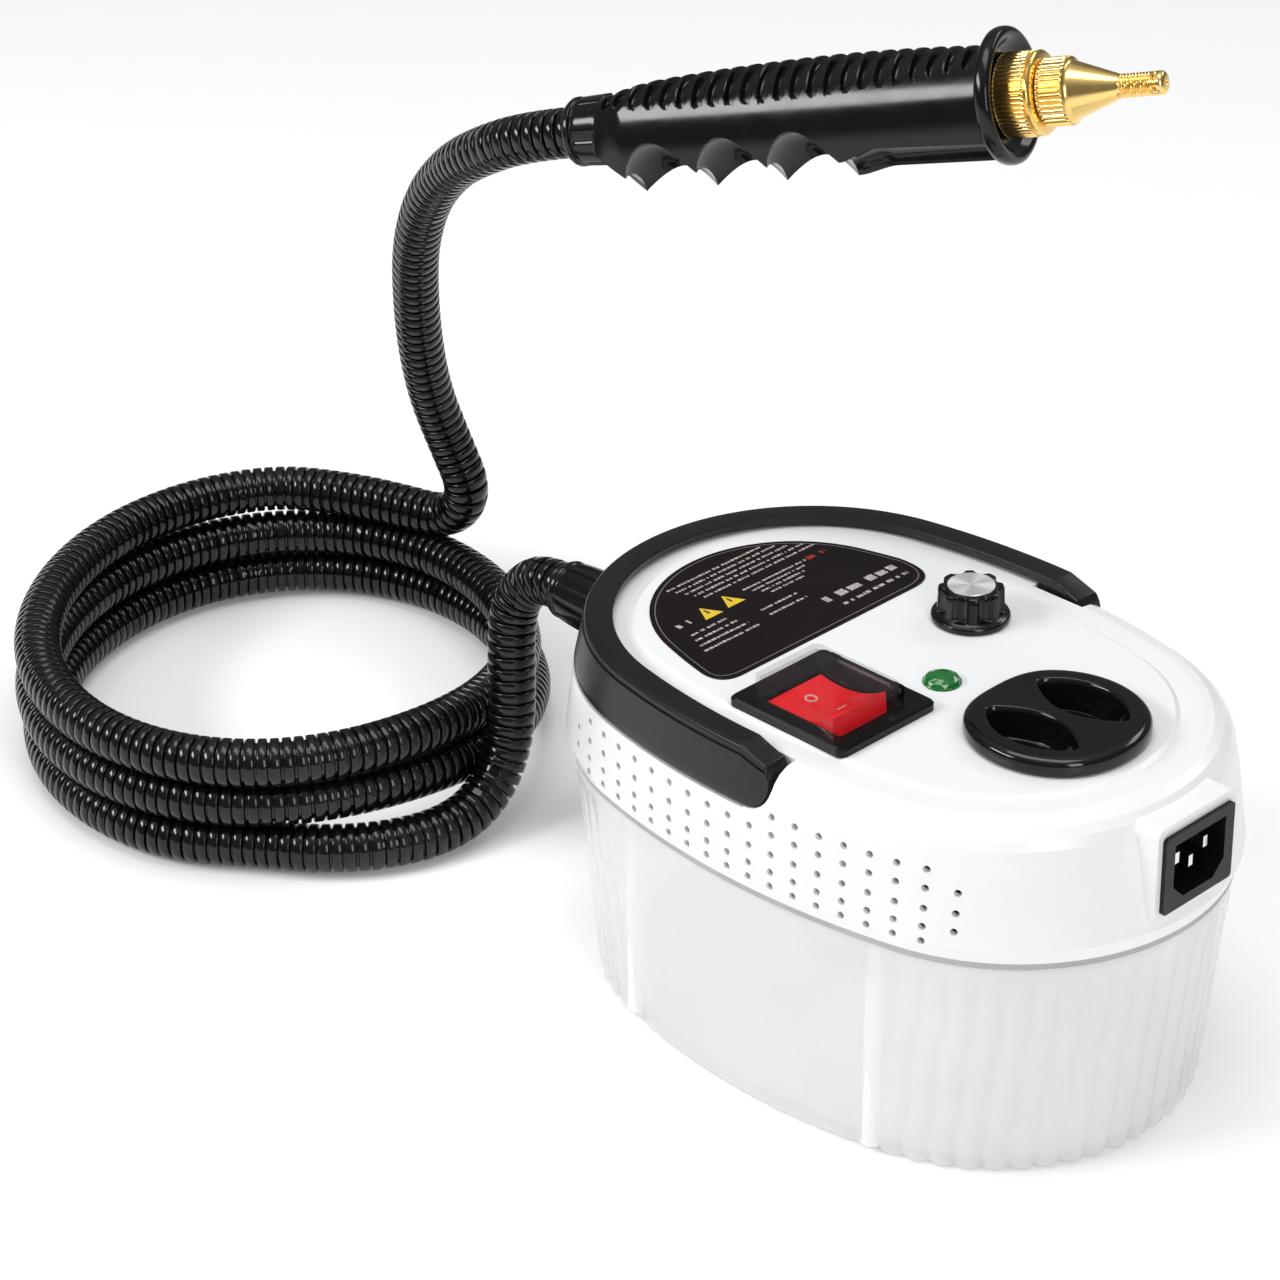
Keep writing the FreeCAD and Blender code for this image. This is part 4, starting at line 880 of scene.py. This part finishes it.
def paint_spun_highlights(metal):
    """Painted highlights and shade: bright and dark wedges round a spun face, on top of the metal's own
    colour, and a painted glow.
    """
    nodes, links = metal.node_tree.nodes, metal.node_tree.links
    shader = nodes["Principled BSDF"]
    plain = shader.inputs["Base Color"].links[0].from_socket
    place = nodes.new("ShaderNodeTexCoord")
    sweep = nodes.new("ShaderNodeTexGradient")
    sweep.gradient_type = "RADIAL"
    links.new(place.outputs["Object"], sweep.inputs["Vector"])
    painted_highlight_ramp = nodes.new("ShaderNodeValToRGB")
    tones = ((0.0, 0.55), (0.08, 1.0), (0.17, 0.5), (0.27, 0.9), (0.36, 0.45), (0.5, 0.6), (0.59, 1.0),
             (0.68, 0.5), (0.78, 0.95), (0.88, 0.5), (1.0, 0.55))
    painted_highlight_ramp.color_ramp.elements[0].position, tone = tones[0]
    painted_highlight_ramp.color_ramp.elements[0].color = (tone, tone, tone, 1)
    painted_highlight_ramp.color_ramp.elements[1].position, tone = tones[-1]
    painted_highlight_ramp.color_ramp.elements[1].color = (tone, tone, tone, 1)
    for position, tone in tones[1:-1]:
        painted_highlight_ramp.color_ramp.elements.new(position).color = (tone, tone, tone, 1)
    links.new(sweep.outputs["Fac"], painted_highlight_ramp.inputs["Fac"])
    mix = nodes.new("ShaderNodeMix")
    mix.data_type = "RGBA"
    mix.blend_type = "MULTIPLY"
    mix.inputs["Factor"].default_value = 1.0
    links.new(plain, mix.inputs["A"])
    links.new(painted_highlight_ramp.outputs["Color"], mix.inputs["B"])
    links.new(mix.outputs["Result"], shader.inputs["Base Color"])
    # Painted light: a glow that brightens the disc.
    shader.inputs["Emission Color"].default_value = (0.9, 0.9, 0.92, 1)
    shader.inputs["Emission Strength"].default_value = 0.3


def make_knob_disc():
    """Spun disc with a dished middle and fine turning grooves; its sheen runs outwards from its middle, and
    painted highlights and a painted glow are added to its colour.
    """
    profile = [(12.02, 0.5), (12.02, 7.9), (12.5, 8.15), (12.8, 8.0), (12.85, 7.7)]
    for i in range(29):
        radius = 7.5 - 0.25 * i
        groove = 0.04 * (i % 2)
        profile.append((12.85 + groove - 0.15 * (1 - radius / 7.5), radius))
    disc = lathe("spun_knob_disc", profile, Matrix.Rotation(math.radians(-90), 4, "Y"), 128)
    disc.location = mm(*KNOB_AT)
    crease(disc, 30)
    metal = MATERIALS["disc_aluminium"]
    nodes = metal.node_tree.nodes
    tangent = nodes.new("ShaderNodeTangent")
    tangent.direction_type = "RADIAL"
    tangent.axis = "Z"
    metal.node_tree.links.new(tangent.outputs["Tangent"], nodes["Principled BSDF"].inputs["Tangent"])
    nodes["Principled BSDF"].inputs["Anisotropic"].default_value = 0.85
    # Painted highlights and shade round the spun disc, with a painted glow.
    paint_spun_highlights(metal)
    dress(disc, "knob", "disc_aluminium", metal, "knob_disc")


LAMP_AT = (21.1, -2.2, 134.8)


def make_lamp():
    """Moulded lens with a flange and three tiers of facets."""
    sides = 14
    rings = []
    tiers = ((0.0, 6.2), (0.0, 6.6), (0.55, 6.6), (0.7, 6.3), (1.9, 5.6), (2.8, 3.7), (3.15, 1.6))
    for tier, (height, radius) in enumerate(tiers):
        twist = 0.5 * (tier % 2)
        rings.append([mm(LAMP_AT[0] + radius * math.cos(TURN * (j + twist) / sides),
                         LAMP_AT[1] + radius * math.sin(TURN * (j + twist) / sides), LAMP_AT[2] + height)
                      for j in range(sides)])
    lens = skin_rings("faceted_lamp_lens", rings, flat=True)
    dress(lens, "body", "lamp_green", MATERIALS["lamp_green"], "lamp_lens")


# ---------------------------------------------------------------- switch
ROCKER_AT = (8.0, -42.0, 131.5)
ROCKER_SAG_R = 34.45
ROCKER_FACE = 5.4         # height of the face's lowest line above the pivot
ROCKER_REST = math.radians(-10)


def rocker_face(x):
    """Height of the rocker's hollow face above its pivot."""
    return ROCKER_FACE + ROCKER_SAG_R - math.sqrt(ROCKER_SAG_R ** 2 - x * x)


def make_rocker_marks():
    """The usual on and off marks: a ring on one half and a bar on the other, printed on the hollow face."""
    place = Matrix.Translation(Vector(mm(*ROCKER_AT))) @ Matrix.Rotation(ROCKER_REST, 4, "Y")
    middle, inner, outer = -7.4, 1.5, 2.2
    outlines = []
    ring_points = [(math.cos(TURN * i / 32), math.sin(TURN * i / 32)) for i in range(33)]
    for (c0, s0), (c1, s1) in zip(ring_points, ring_points[1:]):
        corners = ((inner, c0, s0), (outer, c0, s0), (outer, c1, s1), (inner, c1, s1))
        outlines.append([(middle + r * c, r * s) for r, c, s in corners])
    outlines.append([(6.0, -1.9), (6.8, -1.9), (6.8, 1.9), (6.0, 1.9)])
    verts = []
    faces = []
    for outline in outlines:
        base = len(verts)
        for lift in (-0.15, 0.12):
            verts += [place @ Vector(mm(x, y, rocker_face(x) + lift)) for x, y in outline]
        faces += [(base + 3, base + 2, base + 1, base), (base + 4, base + 5, base + 6, base + 7)]
        faces += [(base + k, base + (k + 1) % 4, base + 4 + (k + 1) % 4, base + 4 + k) for k in range(4)]
    marks = add_mesh("rocker_marks", verts, faces, True)
    paint = finish("rocker_mark_paint", (0.85, 0.55, 0.52), 0.4, mottle=0.1, relief=0.005)
    dress(marks, "rocker", "rocker_red", paint)


# ---------------------------------------------------------------- label
LABEL_Z = 135.2
MARK_LIFT = 0.05
LABEL_OVAL = (97.0, 57.0, 50.0)
LABEL_POINTS = 720
LABEL_FRONT = -29.0
# Where the oval's rear part ends and the rounded corners start, along X, on the far and the near side.
LABEL_FAR_END = -46.0
LABEL_NEAR_END = -39.0
# Where the corners' tips and the ends of the straight front lie, along Y.
LABEL_FAR_TIP = 53.5
LABEL_FAR_FRONT = 40.0
LABEL_NEAR_TIP = -54.5
LABEL_NEAR_FRONT = -44.0


def flat_marks(name, outlines, material):
    """Thin printed shapes on the label, from outlines of (x, y) in mm."""
    verts = []
    faces = []
    for outline in outlines:
        base = len(verts)
        verts += [mm(x, y, LABEL_Z + MARK_LIFT) for x, y in outline]
        faces.append(tuple(range(base, base + len(outline))))
    marks = add_mesh(name, verts, faces, True)
    return dress(marks, "body", "label_dark", material)


def label_outline(inset):
    """The label's edge in mm: an oval's rear part, two rounded corners and a straight front."""
    whole, _ = oval_line(LABEL_OVAL, LABEL_POINTS)
    line, _ = oval_line(tuple(size - inset for size in LABEL_OVAL), LABEL_POINTS)
    front = LABEL_FRONT - inset
    rear = [at[:2] for at, base in zip(line, whole)
            if base[0] < (LABEL_FAR_END if base[1] > 0 else LABEL_NEAR_END)]

    def corner(start, tip, end):
        steps = [k / 12 for k in range(1, 13)]
        return [tuple((1 - t) ** 2 * a + 2 * t * (1 - t) * b + t * t * c for a, b, c in zip(start, tip, end))
                for t in steps]

    near = corner(rear[-1], (front, LABEL_NEAR_TIP + inset), (front, LABEL_NEAR_FRONT + inset))
    far = corner((front, LABEL_FAR_FRONT - inset), (front, LABEL_FAR_TIP - inset), rear[0])
    return rear + near + [(front, LABEL_FAR_FRONT - inset)] + far[:-1]


def make_label_plate():
    levels = ((134.8, 0.0), (135.1, 0.0), (LABEL_Z, 0.2))
    rings = [[mm(x, y, z) for x, y in label_outline(inset)] for z, inset in levels]
    plate = skin_rings("label_film", rings)
    crease(plate, 15)
    dress(plate, "body", "label_dark", MATERIALS["label_dark"], "label_plate")
    outer, inner = label_outline(1.7), label_outline(2.1)
    count = len(outer)
    border = [[outer[i], outer[(i + 1) % count], inner[(i + 1) % count], inner[i]] for i in range(count)]
    line = finish("label_border", (0.16, 0.14, 0.13), 0.35, mottle=0.2, relief=0.004)
    flat_marks("label_border_line", border, line)


def dash_row(x, y_from, y_to, height, seed):
    """A line of dashes of uneven lengths along Y, as print too small to read looks."""
    outlines = []
    y = y_from
    step = seed
    while y < y_to:
        step = (step * 37 + 11) % 101
        length = height * (0.5 + 1.3 * step / 101)
        end = min(y + length, y_to)
        notch = height * 0.12 * (step % 3)
        outlines.append([(x, y), (x, end), (x - height + notch, end), (x - height + notch * 0.5, y)])
        y = end + height * (0.35 if step % 4 else 1.1)
    return outlines


# Blocks of print: how many rows, then the rows' x, start and end in mm, each as (first row, step to the next
# row), then the height of the print in mm and the seed of its dashes.
PRINT_BLOCKS = (
    (5, (-87.0, 3.0), (-22.0, 1.5), (24.0, 4.0), 1.05, 5),
    (4, (-69.0, 2.6), (-3.0, 2.0), (28.0, -3.0), 1.0, 21),
    (4, (-59.0, 3.6), (-38.0, -1.5), (-21.0, 1.5), 1.15, 40),
    (2, (-54.5, 4.2), (-9.0, 0.0), (9.0, 0.0), 1.1, 60),
    (1, (-42.5, 0.0), (11.0, 0.0), (46.0, 0.0), 3.6, 71),
    (1, (-37.2, 0.0), (14.0, 0.0), (46.0, 0.0), 1.6, 83),
    (1, (-65.5, 0.0), (-37.5, 0.0), (-31.5, 0.0), 3.0, 90),
)


def make_label_marks():
    pale = finish("label_print", (0.42, 0.38, 0.36), 0.4, mottle=0.4, relief=0.005, flecks=900.0)
    yellow = finish("label_yellow", (0.72, 0.50, 0.03), 0.35, mottle=0.15, relief=0.005)
    dark = finish("label_symbol", (0.03, 0.02, 0.01), 0.4, mottle=0.3, relief=0.005)
    red = finish("label_red", (0.30, 0.02, 0.02), 0.35, mottle=0.3, relief=0.005)
    rows = []
    for count, x, y_from, y_to, height, seed in PRINT_BLOCKS:
        for number in range(count):
            place = [first + step * number for first, step in (x, y_from, y_to)]
            rows += dash_row(*place, height, seed + number)
    flat_marks("label_print_rows", rows, pale)
    triangles = []
    signs = []
    for x, y in ((-67.6, -11.3), (-67.0, -22.7)):
        triangles.append([(x + 3.4, y - 4.2), (x + 3.4, y + 4.2), (x - 4.2, y)])
        signs.append([(x + 1.0, y - 0.5), (x + 1.0, y + 0.5), (x - 1.9, y + 0.35), (x - 1.9, y - 0.35)])
    flat_marks("label_triangles", triangles, yellow)
    lifted = flat_marks("label_triangle_bars", signs, dark)
    lifted.location.z += MARK_LIFT * MM
    flat_marks("label_red_patch", dash_row(-68.5, 29.0, 38.0, 2.6, 7), red)


# ---------------------------------------------------------------- floor and light
def make_stage():
    size = 5.0
    floor = add_mesh("floor", [(-size, -size, 0), (size, -size, 0), (size, size, 0), (-size, size, 0)],
                     [(0, 1, 2, 3)], True)
    floor.location.z = -0.0004
    floor.data.materials.append(finish("floor_white", (0.95, 0.95, 0.95), 0.6, mottle=0.004, relief=0.0,
                                       specular=0.1, glow=0.1))


def softbox(name, at, towards, size, power):
    data = bpy.data.lights.new(name, "AREA")
    data.shape = "RECTANGLE"
    data.size, data.size_y = size
    data.energy = power
    light = bpy.data.objects.new(name, data)
    light.location = at
    light.rotation_euler = (Vector(towards) - Vector(at)).to_track_quat("-Z", "Y").to_euler()
    bpy.context.scene.collection.objects.link(light)


def make_world():
    """Studio dome, dim at the horizon and bright overhead, with a plain white backdrop behind the object."""
    world = bpy.data.worlds.new("studio")
    world.use_nodes = True
    nodes, links = world.node_tree.nodes, world.node_tree.links
    place = nodes.new("ShaderNodeTexCoord")
    parts = nodes.new("ShaderNodeSeparateXYZ")
    links.new(place.outputs["Generated"], parts.inputs["Vector"])
    ramp = nodes.new("ShaderNodeValToRGB")
    ramp.color_ramp.elements[0].position = 0.0
    ramp.color_ramp.elements[0].color = (0.16, 0.16, 0.165, 1)
    ramp.color_ramp.elements[1].position = 1.0
    ramp.color_ramp.elements[1].color = (0.72, 0.73, 0.75, 1)
    middle = ramp.color_ramp.elements.new(0.6)
    middle.color = (0.20, 0.20, 0.205, 1)
    links.new(parts.outputs["Z"], ramp.inputs["Fac"])
    dome = nodes["Background"]
    links.new(ramp.outputs["Color"], dome.inputs["Color"])
    backdrop = nodes.new("ShaderNodeBackground")
    backdrop.inputs["Color"].default_value = (1, 1, 1, 1)
    seen = nodes.new("ShaderNodeLightPath")
    mix = nodes.new("ShaderNodeMixShader")
    links.new(seen.outputs["Is Camera Ray"], mix.inputs["Fac"])
    links.new(dome.outputs["Background"], mix.inputs[1])
    links.new(backdrop.outputs["Background"], mix.inputs[2])
    links.new(mix.outputs["Shader"], nodes["World Output"].inputs["Surface"])
    bpy.context.scene.world = world


def make_lights():
    middle = (-0.12, 0.0, 0.1)
    softbox("key", (-0.9, -1.5, 1.25), middle, (1.0, 0.4), 21)
    softbox("top", (-0.1, -0.1, 2.0), middle, (1.6, 0.8), 15)
    softbox("side", (1.5, -0.6, 0.9), middle, (0.5, 1.0), 9)
    softbox("far_side", (0.2, 1.7, 1.5), middle, (1.2, 0.4), 6)
    bpy.context.scene.view_settings.view_transform = "Standard"


make_camera()
dress_cad_nodes()
make_hose()
make_gland()
make_gun_collar()
make_grip()
make_flange()
make_coupling_ring()
make_nozzle()
make_tank()
make_tank_pillars()
make_handle()
make_cap()
make_knob()
make_knob_disc()
make_lamp()
make_rocker_marks()
make_label_plate()
make_label_marks()
make_stage()
make_world()
make_lights()
